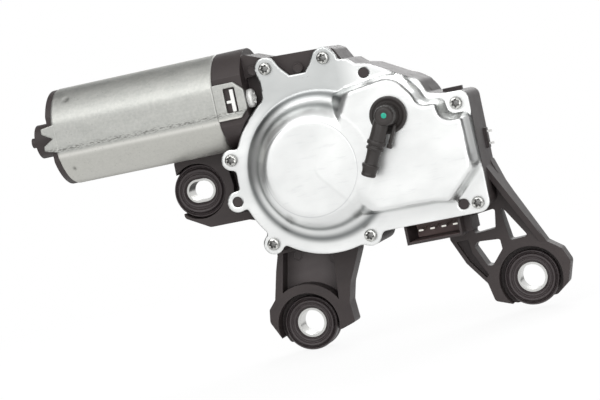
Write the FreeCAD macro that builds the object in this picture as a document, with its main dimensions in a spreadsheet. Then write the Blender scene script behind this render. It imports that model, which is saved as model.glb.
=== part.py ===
import FreeCAD, Part
import math
import os
import Sketcher

# Rear wiper motor with a gear case, a swinging hollow output shaft and three bush mounts.
# The origin is on the output shaft's axis in the plane of the mounting sleeves' back ends.
# +X runs along the motor towards the output side, +Y along the shaft out of the back, +Z up.
# A depth is a distance in front of the mounting plane, towards the cover, so Y = -depth.

V = FreeCAD.Vector
doc = FreeCAD.newDocument("wiper_motor")
sheet = doc.addObject("Spreadsheet::Sheet", "Sizes")

# Driving sizes in millimetres, with an alias for each.
DIMENSIONS = [
    # Depths of the gear case, its cover and what lies in it.
    ("neck_end", -20.0), ("hump_back", 4.0), ("arm_back", 4.7), ("eye_front", 8.3),
    ("case_back", 7.0), ("case_floor", 9.0), ("case_rim", 34.4), ("gasket_thickness", 0.6),
    ("sheet", 1.0), ("band_rise", 3.0), ("plateau_rise", 12.5), ("left_arm_front", 14.0),
    ("leg_front", 16.0), ("right_arm_front", 14.0), ("bracket_front", 26.0),
    ("channel_depth", 3.0), ("rib_front", 28.0), ("pocket_depth", 8.6),
    # Gear case and cover outline.
    ("gear_x", -36.0), ("gear_z", -15.7), ("case_radius", 37.5), ("cavity_radius", 33.2),
    ("case_right", 32.0), ("case_bottom", -46.7), ("cover_bottom", -47.9), ("case_wall", 2.4),
    ("crease_top", 15.9), ("crease_bottom", -39.8), ("crease_right", 31.2),
    ("band_outer", 32.3), ("ridge_radius", 27.6), ("dome_top_radius", 20.6), ("wall_run", 1.0),
    ("hump_radius", 16.5), ("neck_radius", 11.0),
    ("screw_head_radius", 2.65), ("screw_head_height", 2.0), ("screw_radius", 1.5),
    ("screw_length", 13.0), ("ear_radius", 4.5), ("pin_radius", 2.15),
    # Motor.
    ("motor_depth", 20.0), ("motor_height", 19.2), ("can_radius", 21.3), ("can_half_depth", 20.2),
    ("can_wall", 1.5), ("can_end", -150.0), ("can_gap", 1.5), ("block_end", -62.0),
    ("tab_length", 13.6), ("tab_width", 15.8), ("tongue_length", 5.4), ("tongue_width", 12.6),
    ("cap_rim", 2.5), ("cap_plug", 3.0), ("cap_boss_radius", 7.5), ("cap_boss_length", 11.3),
    ("cap_nub_length", 1.8), ("cap_nub_radius", 2.2),
    ("cap_nub_offset", 5.0), ("shaft_radius", 3.0), ("journal_radius", 2.5),
    ("rotor_radius", 13.9), ("rotor_start", -138.0), ("rotor_length", 41.0),
    ("winding_length", 6.0), ("winding_radius", 12.6), ("slot_count", 10),
    ("commutator_radius", 7.5), ("commutator_start", -90.8), ("commutator_length", 11.3),
    ("magnet_gap", 0.6), ("magnet_length", 45.0), ("magnet_width", 24.0),
    ("card_start", -81.5), ("card_thickness", 2.5), ("brush_width", 5.0), ("brush_depth", 6.0),
    ("brush_length", 6.0), ("holder_wall", 0.5), ("bearing_radius", 6.0),
    ("bearing_length", 6.0), ("running_gap", 0.04), ("slack", 0.3),
    # Worm and worm wheel.
    ("worm_start", -50.0), ("worm_length", 28.0), ("worm_pitch_radius", 4.4),
    ("gear_module", 1.0), ("wheel_teeth", 61), ("wheel_half_width", 4.0), ("backlash", 0.3),
    ("addendum", 0.85), ("dedendum", 1.15), ("tunnel_radius", 6.6),
    ("front_journal_start", -21.5), ("front_bearing_radius", 5.0), ("front_bearing_length", 5.0),
    ("thrust_pad_thickness", 1.8), ("axle_radius", 3.0), ("axle_boss_radius", 8.0),
    ("wheel_boss_radius", 13.0), ("wheel_web", 3.5), ("crank_radius", 8.0),
    ("crank_bush_radius", 3.9), ("crank_pin_radius", 2.8),
    # Linkage and output shaft.
    ("sector_teeth", 27), ("pinion_teeth", 17), ("link_depth", 27.5), ("link_thickness", 3.5),
    ("rocker_gap", 1.0), ("rocker_thickness", 3.0), ("rocker_pin_radius", 3.0),
    ("output_radius", 5.0), ("water_bore", 1.9), ("water_tube_radius", 1.5),
    ("shaft_end_rise", 3.0), ("cone_start", -31.0), ("cone_end", -41.0), ("output_tip", -50.0),
    ("cone_radius", 4.2), ("thread_radius", 3.5), ("shaft_bush_wall", 1.0),
    ("neck_boss_radius", 7.2), ("neck_boss_front", 26.4), ("washer_thickness", 0.8),
    # Mounting eyes.
    ("left_eye_x", -98.6), ("left_eye_z", -16.6), ("bottom_eye_x", -61.3),
    ("bottom_eye_z", -83.3), ("right_eye_x", 38.8), ("right_eye_z", -81.2),
    ("sleeve_bore", 5.5), ("sleeve_wall", 1.0), ("sleeve_length", 10.0),
    ("slot_long", 11.4), ("slot_short", 8.4), ("rubber_radius", 12.0), ("groove_radius", 8.8),
    ("rubber_back", 1.0), ("rubber_front", 12.0), ("eye_recess", 13.8), ("left_recess", 12.3),
    # Connector.
    ("plug_left", -6.9), ("plug_right", 17.4), ("plug_low", -56.2), ("plug_wall", 1.1),
    ("plug_mouth", 33.0), ("plug_back", 8.0), ("plug_floor", 13.0), ("blade_height", -51.2),
    ("blade_start", -0.9), ("blade_pitch", 5.0), ("blade_width", 2.0), ("blade_thickness", 0.7),
    ("blade_tip", 28.0), ("blade_count", 4), ("board_depth", 10.9), ("board_thickness", 1.6),
    # Washer elbow on the cover.
    ("elbow_disc_radius", 8.0), ("elbow_disc_height", 1.8), ("elbow_hub_radius", 5.0),
    ("elbow_hub_height", 8.6), ("elbow_pipe_radius", 3.3), ("elbow_length", 26.3),
    ("elbow_bore", 1.4),
]


class Size:
    """A length: its number, and the text of the expression that binds a property to it."""

    def __init__(self, number, text):
        self.number = number
        self.text = text

    def __float__(self):
        return self.number

    def __neg__(self):
        return Size(-self.number, "(0 - %s)" % self.text)

    def __add__(self, other):
        return Size(self.number + float(other), "(%s + %s)" % (self.text, expression(other)))

    def __sub__(self, other):
        return Size(self.number - float(other), "(%s - %s)" % (self.text, expression(other)))

    def __mul__(self, other):
        return Size(self.number * float(other), "(%s * %s)" % (self.text, expression(other)))

    def __truediv__(self, other):
        return Size(self.number / float(other), "(%s / %s)" % (self.text, expression(other)))

    def __rsub__(self, other):
        return Size(float(other) - self.number, "(%s - %s)" % (expression(other), self.text))

    __radd__ = __add__
    __rmul__ = __mul__


def expression(value):
    """The text that stands for a size, or for a plain number, in an expression."""
    return value.text if isinstance(value, Size) else repr(float(value))


def fill_sheet():
    """Write the driving sizes into the sheet and return them by name."""
    sizes = {}
    for row, (alias, number) in enumerate(DIMENSIONS, start=1):
        sheet.set("A%d" % row, alias)
        sheet.set("B%d" % row, str(number))
        sheet.setAlias("B%d" % row, alias)
        sizes[alias] = Size(float(number), "Sizes." + alias)
    doc.recompute()
    return sizes


class Named:
    """Reads a driving size as an attribute."""

    def __init__(self, sizes):
        self.__dict__.update(sizes)


S = Named(fill_sheet())
S.can_mouth = S.gear_x - S.case_radius - S.can_gap
S.rocker_depth = S.link_depth + S.link_thickness + S.rocker_gap
S.output_front = S.rocker_depth + S.rocker_thickness + S.shaft_end_rise
nodes = []


def bind(thing, name, value):
    """Set a property of an object, through an expression where the value is a size."""
    if isinstance(value, Size):
        thing.setExpression(name, value.text)
    else:
        thing.setExpression(name, repr(float(value)))


def node(thing, label):
    """Name an object as a finished sub-part."""
    thing.Label = label
    nodes.append(thing)
    return thing


# Sketches and features.


def new_body():
    return doc.addObject("PartDesign::Body", "Body")


def circle(x, z, radius):
    return {"centre": (x, z), "radius": radius}


def loop(*corners):
    """A closed outline. A corner is (x, z), or (x, z, r) where it is rounded with radius r."""
    return {"corners": corners}


def loop_edges(corners):
    """Lines and arcs of a closed outline."""
    count = len(corners)
    spots = [V(float(c[0]), float(c[1]), 0) for c in corners]
    entries, exits, edges = [], [], []
    middles = {}
    for i, corner in enumerate(corners):
        radius = float(corner[2]) if len(corner) > 2 else 0.0
        if not radius:
            entries.append(spots[i])
            exits.append(spots[i])
            continue
        back = (spots[i - 1] - spots[i]).normalize()
        ahead = (spots[(i + 1) % count] - spots[i]).normalize()
        half = back.getAngle(ahead) / 2
        run = radius / math.tan(half)
        inward = (back + ahead).normalize()
        entries.append(spots[i] + back * run)
        exits.append(spots[i] + ahead * run)
        middles[i] = spots[i] + inward * (radius / math.sin(half) - radius)
    for i in range(count):
        if i in middles:
            edges.append(Part.ArcOfCircle(entries[i], middles[i], exits[i]))
        edges.append(Part.LineSegment(exits[i], entries[(i + 1) % count]))
    return edges


def join_ends(sketch, first, count):
    """Tie each edge's end to the start of the next."""
    ties = []
    for i in range(count):
        here, after = first + i, first + (i + 1) % count
        pairs = [(a, b) for a in (1, 2) for b in (1, 2)]
        gaps = {p: sketch.getPoint(here, p[0]).distanceToPoint(sketch.getPoint(after, p[1]))
                for p in pairs}
        a, b = min(pairs, key=gaps.get)
        ties.append(Sketcher.Constraint("Coincident", here, a, after, b))
    sketch.addConstraint(ties)


def fix_point(sketch, edge, point, x, y):
    """Hold a sketch point at its sizes, where they come from the sheet."""
    for kind, value in (("DistanceX", x), ("DistanceY", y)):
        if isinstance(value, Size):
            spot = sketch.addConstraint(
                Sketcher.Constraint(kind, -1, 1, edge, point, float(value)))
            sketch.setExpression("Constraints[%d]" % spot, value.text)


def draw(body, role, outlines, level=0.0):
    """A sketch on one of the body's own planes, moved along the plane's normal."""
    plane = next(o for o in body.Origin.OriginFeatures if o.Role == role)
    sketch = body.newObject("Sketcher::SketchObject", "Outline")
    sketch.AttachmentSupport = [(plane, "")]
    sketch.MapMode = "FlatFace"
    bind(sketch, "AttachmentOffset.Base.z", level)
    for outline in outlines:
        first = sketch.GeometryCount
        if "radius" in outline:
            x, z = outline["centre"]
            centre = V(float(x), float(z), 0)
            sketch.addGeometry(Part.Circle(centre, V(0, 0, 1), float(outline["radius"])), False)
            fix_point(sketch, first, 3, x, z)
            if isinstance(outline["radius"], Size):
                radius = Sketcher.Constraint("Radius", first, float(outline["radius"]))
                spot = sketch.addConstraint(radius)
                sketch.setExpression("Constraints[%d]" % spot, outline["radius"].text)
            continue
        corners = outline.get("corners", ())
        edges = outline.get("edges") or loop_edges(corners)
        sketch.addGeometry(edges, False)
        join_ends(sketch, first, len(edges))
        if corners and all(len(c) == 2 for c in corners):
            for i, (x, z) in enumerate(outline["corners"]):
                fix_point(sketch, first + i, 1, x, z)
    return sketch


def pad(body, outlines, start, end, draft=0.0, role="XZ_Plane"):
    """Extrude outlines between two depths, or between two places along X."""
    feature = body.newObject("PartDesign::Pad", "Pad")
    feature.Profile = draw(body, role, outlines, start)
    bind(feature, "Length", end - start)
    feature.TaperAngle = -draft
    feature.Refine = False
    return feature


def pocket(body, outlines, start, end, role="XZ_Plane"):
    """Cut outlines out between two depths, or between two places along X."""
    feature = body.newObject("PartDesign::Pocket", "Pocket")
    feature.Profile = draw(body, role, outlines, end)
    bind(feature, "Length", end - start)
    feature.Refine = False
    return feature


def spin(body, profile, axis="V_Axis", kind="PartDesign::Revolution"):
    """Revolve a profile on the body's XY plane about its own Y or X axis."""
    sketch = draw(body, "XY_Plane", [profile])
    feature = body.newObject(kind, "Turned")
    feature.Profile = sketch
    feature.ReferenceAxis = (sketch, [axis])
    feature.Angle = 360
    feature.Refine = False
    return feature


def place(thing, x=0.0, y=0.0, z=0.0, turn=None):
    """Move an object to its place, after an optional turn."""
    if turn is not None:
        thing.Placement = FreeCAD.Placement(V(0, 0, 0), turn)
    for name, value in (("x", x), ("y", y), ("z", z)):
        bind(thing, "Placement.Base." + name, value)
    return thing


def turned_y(points, x=0.0, z=0.0):
    """A body turned about an axis along Y. Each point is (depth, radius)."""
    body = new_body()
    spin(body, loop(*[(radius, -depth) for depth, radius in points]))
    return place(body, x, 0.0, z)


def turned_x(points, y=None, z=None, turn=None):
    """A body turned about an axis along X, by default the motor's. Each point is (x, radius)."""
    body = new_body()
    spin(body, loop(*points), "H_Axis")
    y = -S.motor_depth if y is None else y
    z = S.motor_height if z is None else z
    return place(body, 0.0, y, z, turn)


def ring_y(start, end, inner, outer, x=0.0, z=0.0):
    """A plain ring or disc about an axis along Y."""
    points = [(start, inner), (start, outer), (end, outer), (end, inner)]
    return turned_y(points, x, z)


def ring_x(start, end, inner, outer):
    """A plain ring or disc about the motor's axis."""
    return turned_x([(start, inner), (start, outer), (end, outer), (end, inner)])


def slab(outlines, start, end, draft=0.0):
    """A body of one pad between two depths."""
    body = new_body()
    pad(body, outlines, start, end, draft)
    return body


def block(low, high):
    """A box between two corners, each (x, y, z)."""
    box = doc.addObject("Part::Box", "Block")
    for name, a, b in zip(("Length", "Width", "Height"), low, high):
        bind(box, name, b - a)
    return place(box, *low)


def fused(things):
    result = doc.addObject("Part::MultiFuse", "Joined")
    result.Shapes = things
    result.Refine = False
    return result


def cut(base, things):
    result = doc.addObject("Part::Cut", "Cut")
    result.Base = base
    result.Tool = things[0] if len(things) == 1 else fused(things)
    result.Refine = False
    return result


def shared(first, second):
    result = doc.addObject("Part::Common", "Shared")
    result.Base = first
    result.Tool = second
    result.Refine = False
    return result


def group(things):
    result = doc.addObject("Part::Compound", "Group")
    result.Links = things
    return result


def flattened(half_depth, radius):
    """The can's section across the motor: a circle with a flat in front and one behind."""
    y, z = float(S.motor_depth), float(S.motor_height)
    half_depth, radius = float(half_depth), float(radius)
    rise = math.sqrt(radius ** 2 - half_depth ** 2)
    back, front = -y + half_depth, -y - half_depth
    return {"edges": [
        Part.LineSegment(V(front, z - rise, 0), V(front, z + rise, 0)),
        Part.ArcOfCircle(V(front, z + rise, 0), V(-y, z + radius, 0), V(back, z + rise, 0)),
        Part.LineSegment(V(back, z + rise, 0), V(back, z - rise, 0)),
        Part.ArcOfCircle(V(back, z - rise, 0), V(-y, z - radius, 0), V(front, z - rise, 0)),
    ]}


# Places shared by the case, the gasket, the cover and the screws.

SCREWS = [(-51.2, 29.7), (-25.4, 29.1), (-74.3, -5.6), (-63.5, -44.4), (-20.9, -48.6),
          (26.6, -1.0), (27.2, -43.6)]
PINS = [(-9.6, 19.4), (21.0, -43.2), (-75.5, -23.7)]
EARS = SCREWS[:5] + PINS[2:]
CAN_SCREW_X = -61.9
CAN_SCREW_DEPTH = 32.6
RUBBER_EYES = {
    "left": (S.left_eye_x, S.left_eye_z),
    "bottom": (S.bottom_eye_x, S.bottom_eye_z),
    "right": (S.right_eye_x, S.right_eye_z),
}


def loft(body, first, start, second, end, role="XZ_Plane"):
    """Join an outline at one level to another outline at a second level."""
    feature = body.newObject("PartDesign::AdditiveLoft", "Loft")
    feature.Profile = draw(body, role, [first], start)
    feature.Sections = [draw(body, role, [second], end)]
    feature.Ruled = True
    feature.Refine = False
    return feature


def pattern_round(body, feature, role, count):
    """Repeat a feature evenly about one of the body's axes."""
    axis = next(o for o in body.Origin.OriginFeatures if o.Role == role)
    pattern = body.newObject("PartDesign::PolarPattern", "Round")
    pattern.Originals = [feature]
    pattern.Axis = (axis, [""])
    pattern.Angle = 360
    pattern.Occurrences = int(float(count))
    pattern.Refine = False
    body.Tip = pattern
    return pattern


def inset(corners, distance):
    """Move every side of a clockwise outline inwards by a distance, keeping its roundings."""
    count = len(corners)
    moved = []
    for i, corner in enumerate(corners):
        before, here, after = corners[i - 1], corner, corners[(i + 1) % count]
        normals = []
        for a, b in ((before, here), (here, after)):
            run = V(float(b[0]) - float(a[0]), float(b[1]) - float(a[1]), 0).normalize()
            normals.append(V(run.y, -run.x, 0))
        push = (normals[0] + normals[1]) * (float(distance) / (1 + normals[0].dot(normals[1])))
        moved.append((float(here[0]) + push.x, float(here[1]) + push.y) + tuple(here[2:]))
    return moved


def stadium(x, z, length, width):
    """A slot with round ends, along X."""
    x, z, radius = float(x), float(z), float(width) / 2
    half = float(length) / 2 - radius
    return {"edges": [
        Part.LineSegment(V(x - half, z + radius, 0), V(x + half, z + radius, 0)),
        Part.ArcOfCircle(V(x + half, z + radius, 0), V(x + half + radius, z, 0),
                         V(x + half, z - radius, 0)),
        Part.LineSegment(V(x + half, z - radius, 0), V(x - half, z - radius, 0)),
        Part.ArcOfCircle(V(x - half, z - radius, 0), V(x - half - radius, z, 0),
                         V(x - half, z + radius, 0)),
    ]}


def bar_between(first, radius_a, second, radius_b):
    """The four-cornered outline that is tangent to two circles."""
    ax, az, bx, bz = (float(v) for v in (*first, *second))
    length = math.hypot(bx - ax, bz - az)
    heading = math.atan2(bz - az, bx - ax)
    lean = math.acos((float(radius_a) - float(radius_b)) / length)
    corners = []
    for angle, order in ((heading + lean, 1), (heading - lean, -1)):
        ends = [(ax + radius_a * math.cos(angle), az + radius_a * math.sin(angle)),
                (bx + radius_b * math.cos(angle), bz + radius_b * math.sin(angle))]
        corners.extend(ends[::order])
    return loop(*corners)


# The gear case and its cover.


def case_outline(bottom):
    """Outline of the case to the right of the worm wheel, with the two upper ears."""
    return loop(
        (-55.0, 8.0), (-54.7, 33.4, 3.0), (-48.9, 33.2, 2.0), (-41.4, 24.8), (-34.6, 24.6),
        (-28.6, 31.6), (-20.4, 29.5), (-19.6, 27.2, 0.8), (-15.6, 26.7, 1.0),
        (-12.4, 23.9, 1.0), (-7.0, 22.7, 3.0), (12.9, 11.6, 4.0), (15.4, 5.5, 2.0),
        (22.0, 4.0, 2.0), (S.case_right, 3.8, 3.6), (S.case_right, bottom, 4.6),
        (S.gear_x, bottom))


def crease_corners():
    """Foot of the plateau's wall on the cover, clockwise, to the right of the worm wheel."""
    top, right, low = S.crease_top, S.crease_right, S.crease_bottom
    return [
        (-30.0, 2.0), (-23.5, top - 2.85, 2.5), (4.8, top + 0.5, 6.5), (14.2, 2.4, 2.6),
        (21.4, 2.0, 1.6),
        (22.8, -5.9, 3.4), (right, -5.8, 1.4), (right, -28.8, 3.0), (18.4, low - 1.6, 3.0),
        (11.0, low - 0.3, 9.0), (-22.0, low + 0.3, 2.5), (-30.0, -30.0)]


def pad_case_outline(body, start, end, bottom):
    """The wheel's round part, the straight-sided part and the ears for screws and pins."""
    pad(body, [circle(S.gear_x, S.gear_z, S.case_radius)], start, end)
    pad(body, [case_outline(bottom)], start, end)
    pad(body, [circle(x, z, S.ear_radius) for x, z in EARS], start, end)


def leg_pocket():
    """The window in the bottom leg's front, with an arc round the mounting eye as its foot."""
    x, z = float(S.bottom_eye_x), float(S.bottom_eye_z)
    reach = float(S.eye_recess) + 4.0
    left, right = x - 8.8, x + 15.6
    foot = [(px, z + math.sqrt(reach ** 2 - (px - x) ** 2)) for px in (left, right)]
    top_left, top_right = V(x - 4.8, -50.5, 0), V(x + 17.6, -50.5, 0)
    low_left, low_right = V(*foot[0], 0), V(*foot[1], 0)
    return {"edges": [
        Part.LineSegment(top_left, top_right),
        Part.LineSegment(top_right, low_right),
        Part.ArcOfCircle(low_right, V(x, z + reach, 0), low_left),
        Part.LineSegment(low_left, top_left),
    ]}


def case_legs():
    """The three legs that carry the rubber mounted eyes, and the gaps in the right leg."""
    body = new_body()
    left_leg = loop((-64.0, -1.6), (-107.2, -1.6, 1.5), (-107.4, -27.2, 2.0),
                    (-96.5, -33.2, 3.0), (-78.2, -33.2, 3.0), (-64.0, -38.0))
    bottom_leg = loop((-68.6, -40.0), (-68.8, -51.1), (-70.9, -57.6), (-74.1, -70.1),
                      (-77.5, -73.9, 1.5), (-78.4, -79.4, 3.0), (-72.9, -90.6, 1.5),
                      (-46.8, -87.8, 1.0), (-40.6, -85.8, 1.2), (-41.2, -76.8, 4.0),
                      (-39.2, -68.9, 8.0), (-32.4, -54.8, 5.0), (-32.4, -40.0))
    right_leg = loop((8.0, -44.0), (7.7, -58.8), (12.6, -70.0, 3.0), (20.0, -80.1, 2.0),
                     (21.7, -88.2, 2.0), (30.0, -91.2, 2.0), (47.8, -90.6, 2.0),
                     (54.2, -85.8, 2.5), (56.9, -77.0, 3.0), (54.3, -71.0, 2.0),
                     (48.5, -66.8, 2.0), (35.6, -39.4, 6.0), (32.0, -28.0), (26.0, -28.0),
                     (26.0, -44.0))
    fronts = {"left": (left_leg, S.left_arm_front), "bottom": (bottom_leg, S.leg_front),
              "right": (right_leg, S.right_arm_front)}
    for outline, front in fronts.values():
        pad(body, [outline], S.arm_back, front)
    eyes = RUBBER_EYES.values()
    pad(body, [circle(x, z, S.rubber_radius - S.slack) for x, z in eyes], S.arm_back,
        S.eye_front)
    # The tall outer rib of the right leg falls towards the eye.
    high = loop((29.4, -S.case_back), (S.case_right, -S.case_back),
                (S.case_right, -S.rib_front), (29.4, -S.rib_front))
    low = loop((45.6, -S.case_back), (48.3, -S.case_back),
               (48.3, -S.right_arm_front), (45.6, -S.right_arm_front))
    loft(body, high, -29.9, low, -66.9, "XY_Plane")
    recesses = {"left": S.left_recess, "bottom": S.eye_recess, "right": S.eye_recess}
    pocket(body, [circle(*RUBBER_EYES[side], size) for side, size in recesses.items()],
           S.eye_front, S.leg_front)
    pocket(body, [circle(x, z, S.groove_radius) for x, z in eyes], S.arm_back, S.eye_front)
    pocket(body, [leg_pocket()], S.leg_front - S.pocket_depth, S.leg_front)
    pocket(body, [loop((-83.4, -7.0, 1.5), (-77.0, -7.0, 1.0), (-77.0, -29.5, 1.0),
                       (-84.6, -29.5, 1.5), (-82.2, -17.0, 6.0))],
           S.left_arm_front - 5.0, S.left_arm_front)
    gaps = [
        loop((19.6, -50.1, 1.0), (29.5, -48.9, 1.0), (28.1, -57.3, 1.0), (18.6, -58.2, 1.0)),
        loop((31.2, -46.8, 0.8), (33.4, -63.6, 1.0), (41.4, -63.2, 1.0)),
        loop((17.4, -63.4, 1.0), (19.3, -61.6, 1.0), (29.0, -62.2, 1.0), (29.2, -66.6, 1.0),
             (23.7, -72.9, 1.0), (21.5, -72.4, 1.0)),
    ]
    pocket(body, gaps, S.arm_back, S.right_arm_front)
    # A shallow channel along the right leg's left side.
    pocket(body, [loop((9.9, -60.0, 0.6), (15.4, -60.0, 0.6), (16.0, -66.0, 1.0),
                       (21.2, -76.4, 0.6), (20.0, -77.8, 0.6), (14.2, -69.6, 1.0))],
           S.right_arm_front - S.channel_depth, S.right_arm_front)
    cut_wheel_room(body, S.leg_front)
    cut_connector_room(body, S.leg_front)
    return body


def pad_motor_end(body):
    """The collar that the can slides over, and the block above the worm."""
    clear = S.can_wall + 0.1
    collar = flattened(S.can_half_depth - clear, S.can_radius)
    pad(body, [collar], S.can_mouth, S.block_end, role="YZ_Plane")
    pad(body, [loop((-64.0, -2.0), (-64.0, 38.8, 3.0), (-52.5, 34.4, 4.0), (-27.4, 33.4, 2.0),
                    (-21.6, 32.4, 2.0), (-18.8, 27.2), (-18.8, 10.0), (-40.0, 0.0))],
        S.case_back, S.case_rim - 3.0)


def pad_neck(body):
    """The neck round the output shaft on the back, and the hump at its foot."""
    pad(body, [circle(0, 0, S.hump_radius)], S.hump_back, S.motor_depth + 4.0)
    spin(body, loop((0, -S.case_floor), (S.neck_radius, -S.case_floor),
                    (S.neck_radius, -S.neck_end), (0, -S.neck_end)))


def cut_wheel_room(body, front):
    """The cavity for the worm wheel, the linkage and the board."""
    pocket(body, [circle(S.gear_x, S.gear_z, S.cavity_radius)], S.case_floor, front)
    pocket(body, [loop(*inset(crease_corners(), 1.2))], S.case_floor, front)


def cut_connector_room(body, front):
    """Room for the plug socket, and a slot through the wall for each blade."""
    pocket(body, [loop((S.plug_left, S.plug_low), (S.plug_left, S.case_bottom),
                       (S.plug_right, S.case_bottom), (S.plug_right, S.plug_low))],
           S.plug_back, front)
    slots = [loop((x - 1.1, S.case_bottom - 0.5), (x - 1.1, -37.0), (x + 1.1, -37.0),
                  (x + 1.1, S.case_bottom - 0.5)) for x in blade_places()]
    pocket(body, slots, 9.9, 10.9)


def case_shell():
    """The case without its legs: cavities, bearing seats and bosses."""
    body = new_body()
    pad_case_outline(body, S.case_back, S.case_rim, S.case_bottom)
    pad_motor_end(body)
    pad_neck(body)
    # Socket and lug on the right and top walls.
    pad(body, [loop((S.case_right - 1, -22.8), (S.case_right - 1, -14.2),
                    (S.case_right + 1.2, -14.2), (S.case_right + 1.2, -22.8))], 12.0, 16.0)
    pad(body, [loop((20.0, 2.0), (20.0, 5.7), (28.2, 5.7), (28.2, 2.0))], 22.0, 25.0)
    # Niche and thread for the screw that holds the can, and clearance round the can itself.
    pocket(body, [loop((CAN_SCREW_X, 9.0, 1.0), (CAN_SCREW_X, 27.6, 1.0), (-55.2, 27.6, 1.0),
                       (-55.2, 9.0, 1.0))], 28.2, S.case_rim + 2.0)
    pocket(body, [circle(-CAN_SCREW_DEPTH, S.motor_height - 0.5, 1.8)], CAN_SCREW_X - 3.6,
           CAN_SCREW_X, role="YZ_Plane")
    pocket(body, [circle(S.gear_x, S.gear_z, S.case_radius + S.slack)], S.case_rim,
           S.case_rim + 6.0)
    pocket(body, [flattened(S.can_half_depth + S.slack, S.can_radius + S.slack)],
           S.can_mouth - 6.0, S.can_mouth, role="YZ_Plane")
    clear = S.can_wall + 0.1
    spigot = flattened(S.can_half_depth - clear, S.can_radius - clear)
    pad(body, [spigot], S.can_mouth - 4.0, S.can_mouth, role="YZ_Plane")
    # Cavities for the wheel, the linkage, the worm and the brush gear.
    cut_wheel_room(body, S.case_rim)
    axis = (-S.motor_depth, S.motor_height)
    recess = flattened(S.can_half_depth - S.can_wall - S.case_wall,
                       S.can_radius - S.can_wall - S.case_wall)
    pocket(body, [recess], S.can_mouth - 4.0, S.can_mouth + 9.0, role="YZ_Plane")
    pocket(body, [circle(*axis, S.bearing_radius)], S.can_mouth + 9.0, S.worm_start - 3.5,
           role="YZ_Plane")
    pocket(body, [circle(*axis, S.tunnel_radius)], S.worm_start - 3.5,
           S.front_journal_start, role="YZ_Plane")
    pocket(body, [circle(*axis, S.front_bearing_radius)], S.front_journal_start,
           S.front_journal_start + S.front_bearing_length + S.thrust_pad_thickness,
           role="YZ_Plane")
    # Bosses on the floor.
    pad(body, [circle(S.gear_x, S.gear_z, S.axle_boss_radius)], S.case_floor - 1.0, 13.5)
    pad(body, [circle(0, 0, S.neck_boss_radius)], S.case_floor - 1.0, S.neck_boss_front)
    posts = [circle(x, z, 1.8) for x, z in ((3.0, -29.0), (23.5, -29.0), (20.4, -33.8))]
    pad(body, posts, S.case_floor - 1.0, S.board_depth)
    pocket(body, [circle(S.gear_x, S.gear_z, S.axle_radius)], S.case_floor + 0.5, 13.5)
    bush = S.output_radius + S.shaft_bush_wall
    spin(body, loop((0, -S.neck_boss_front), (bush, -S.neck_boss_front), (bush, -12.0),
                    (S.output_radius + 0.5, -12.0), (S.output_radius + 0.5, 6.0), (bush, 6.0),
                    (bush, -S.neck_end - 2.4), (bush + 1.6, -S.neck_end - 2.4),
                    (bush + 1.6, -S.neck_end), (0, -S.neck_end)),
         kind="PartDesign::Groove")
    # Screw holes and locating pins.
    pocket(body, [circle(x, z, S.screw_radius) for x, z in SCREWS],
           S.case_rim - S.screw_length, S.case_rim)
    pad(body, [circle(x, z, S.pin_radius) for x, z in PINS], S.case_rim - 1.0,
        S.case_rim + S.gasket_thickness + S.sheet * 0.8)
    # Bracket beside the plug socket.
    pad(body, [loop((17.4, -45.0), (17.4, -55.4), (20.5, -55.4), (20.5, -45.0))],
        S.case_back, S.bracket_front)
    cut_connector_room(body, S.case_rim)
    return body


def gear_case():
    """The moulded case with its three legs."""
    return node(fused([case_shell(), case_legs()]), "gear_case")


def blade_places():
    return [S.blade_start + S.blade_pitch * i for i in range(int(float(S.blade_count)))]


def raised_form(depth, thin):
    """The solid under the cover's raised dome and plateau. thin is the sheet taken off it."""
    thin = float(thin)
    foot = depth - S.sheet
    top = depth + S.plateau_rise - thin
    step = depth + S.band_rise - thin
    shrink = thin * 1.05
    dome = turned_y([(foot, 0), (foot, S.band_outer - shrink), (depth, S.band_outer - shrink),
                     (step, S.ridge_radius - shrink), (top, S.dome_top_radius - shrink),
                     (top, 0)], S.gear_x, S.gear_z)
    plateau = new_body()
    corners = inset(crease_corners(), shrink)
    pad(plateau, [loop(*corners)], foot, depth)
    loft(plateau, loop(*corners), depth, loop(*inset(corners, S.wall_run)), top)
    return fused([dome, plateau])


def cover_plate():
    """The pressed cover: a flat flange with a stepped dome and a plateau in one sheet."""
    back = S.case_rim + S.gasket_thickness
    front = back + S.sheet
    plate = new_body()
    pad_case_outline(plate, back, front, S.cover_bottom)
    holes = [circle(x, z, S.screw_radius + 0.2) for x, z in SCREWS]
    holes += [circle(x, z, S.pin_radius + 0.1) for x, z in PINS]
    pocket(plate, holes, back, front)
    hole = slab([circle(0, 0, 3.0)], front, front + S.plateau_rise + 1.0)
    return node(cut(fused([plate, raised_form(front, 0.0)]),
                    [raised_form(front, S.sheet), hole]), "cover_plate")


def cover_gasket():
    body = new_body()
    start, end = S.case_rim, S.case_rim + S.gasket_thickness
    pad_case_outline(body, start, end, S.case_bottom)
    pocket(body, [circle(S.gear_x, S.gear_z, S.cavity_radius)], start, end)
    pocket(body, [loop(*inset(crease_corners(), 1.2))], start, end)
    holes = [circle(x, z, S.screw_radius + 0.2) for x, z in SCREWS]
    holes += [circle(x, z, S.pin_radius + 0.1) for x, z in PINS]
    pocket(body, holes, start, end)
    return node(body, "cover_gasket")


def cover_screws():
    """Seven equal pan head screws."""
    seat = S.case_rim + S.gasket_thickness + S.sheet
    head, shank = S.screw_head_radius, S.screw_radius - 0.05
    top = seat + S.screw_head_height
    screws = [turned_y([(S.case_rim - S.screw_length + 0.5, 0), (S.case_rim - S.screw_length
                        + 0.5, shank), (seat, shank), (seat, head), (top - 0.5, head),
                        (top, head - 0.6), (top, 0)], x, z) for x, z in SCREWS]
    return node(group(screws), "cover_screws")


# The motor.


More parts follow.
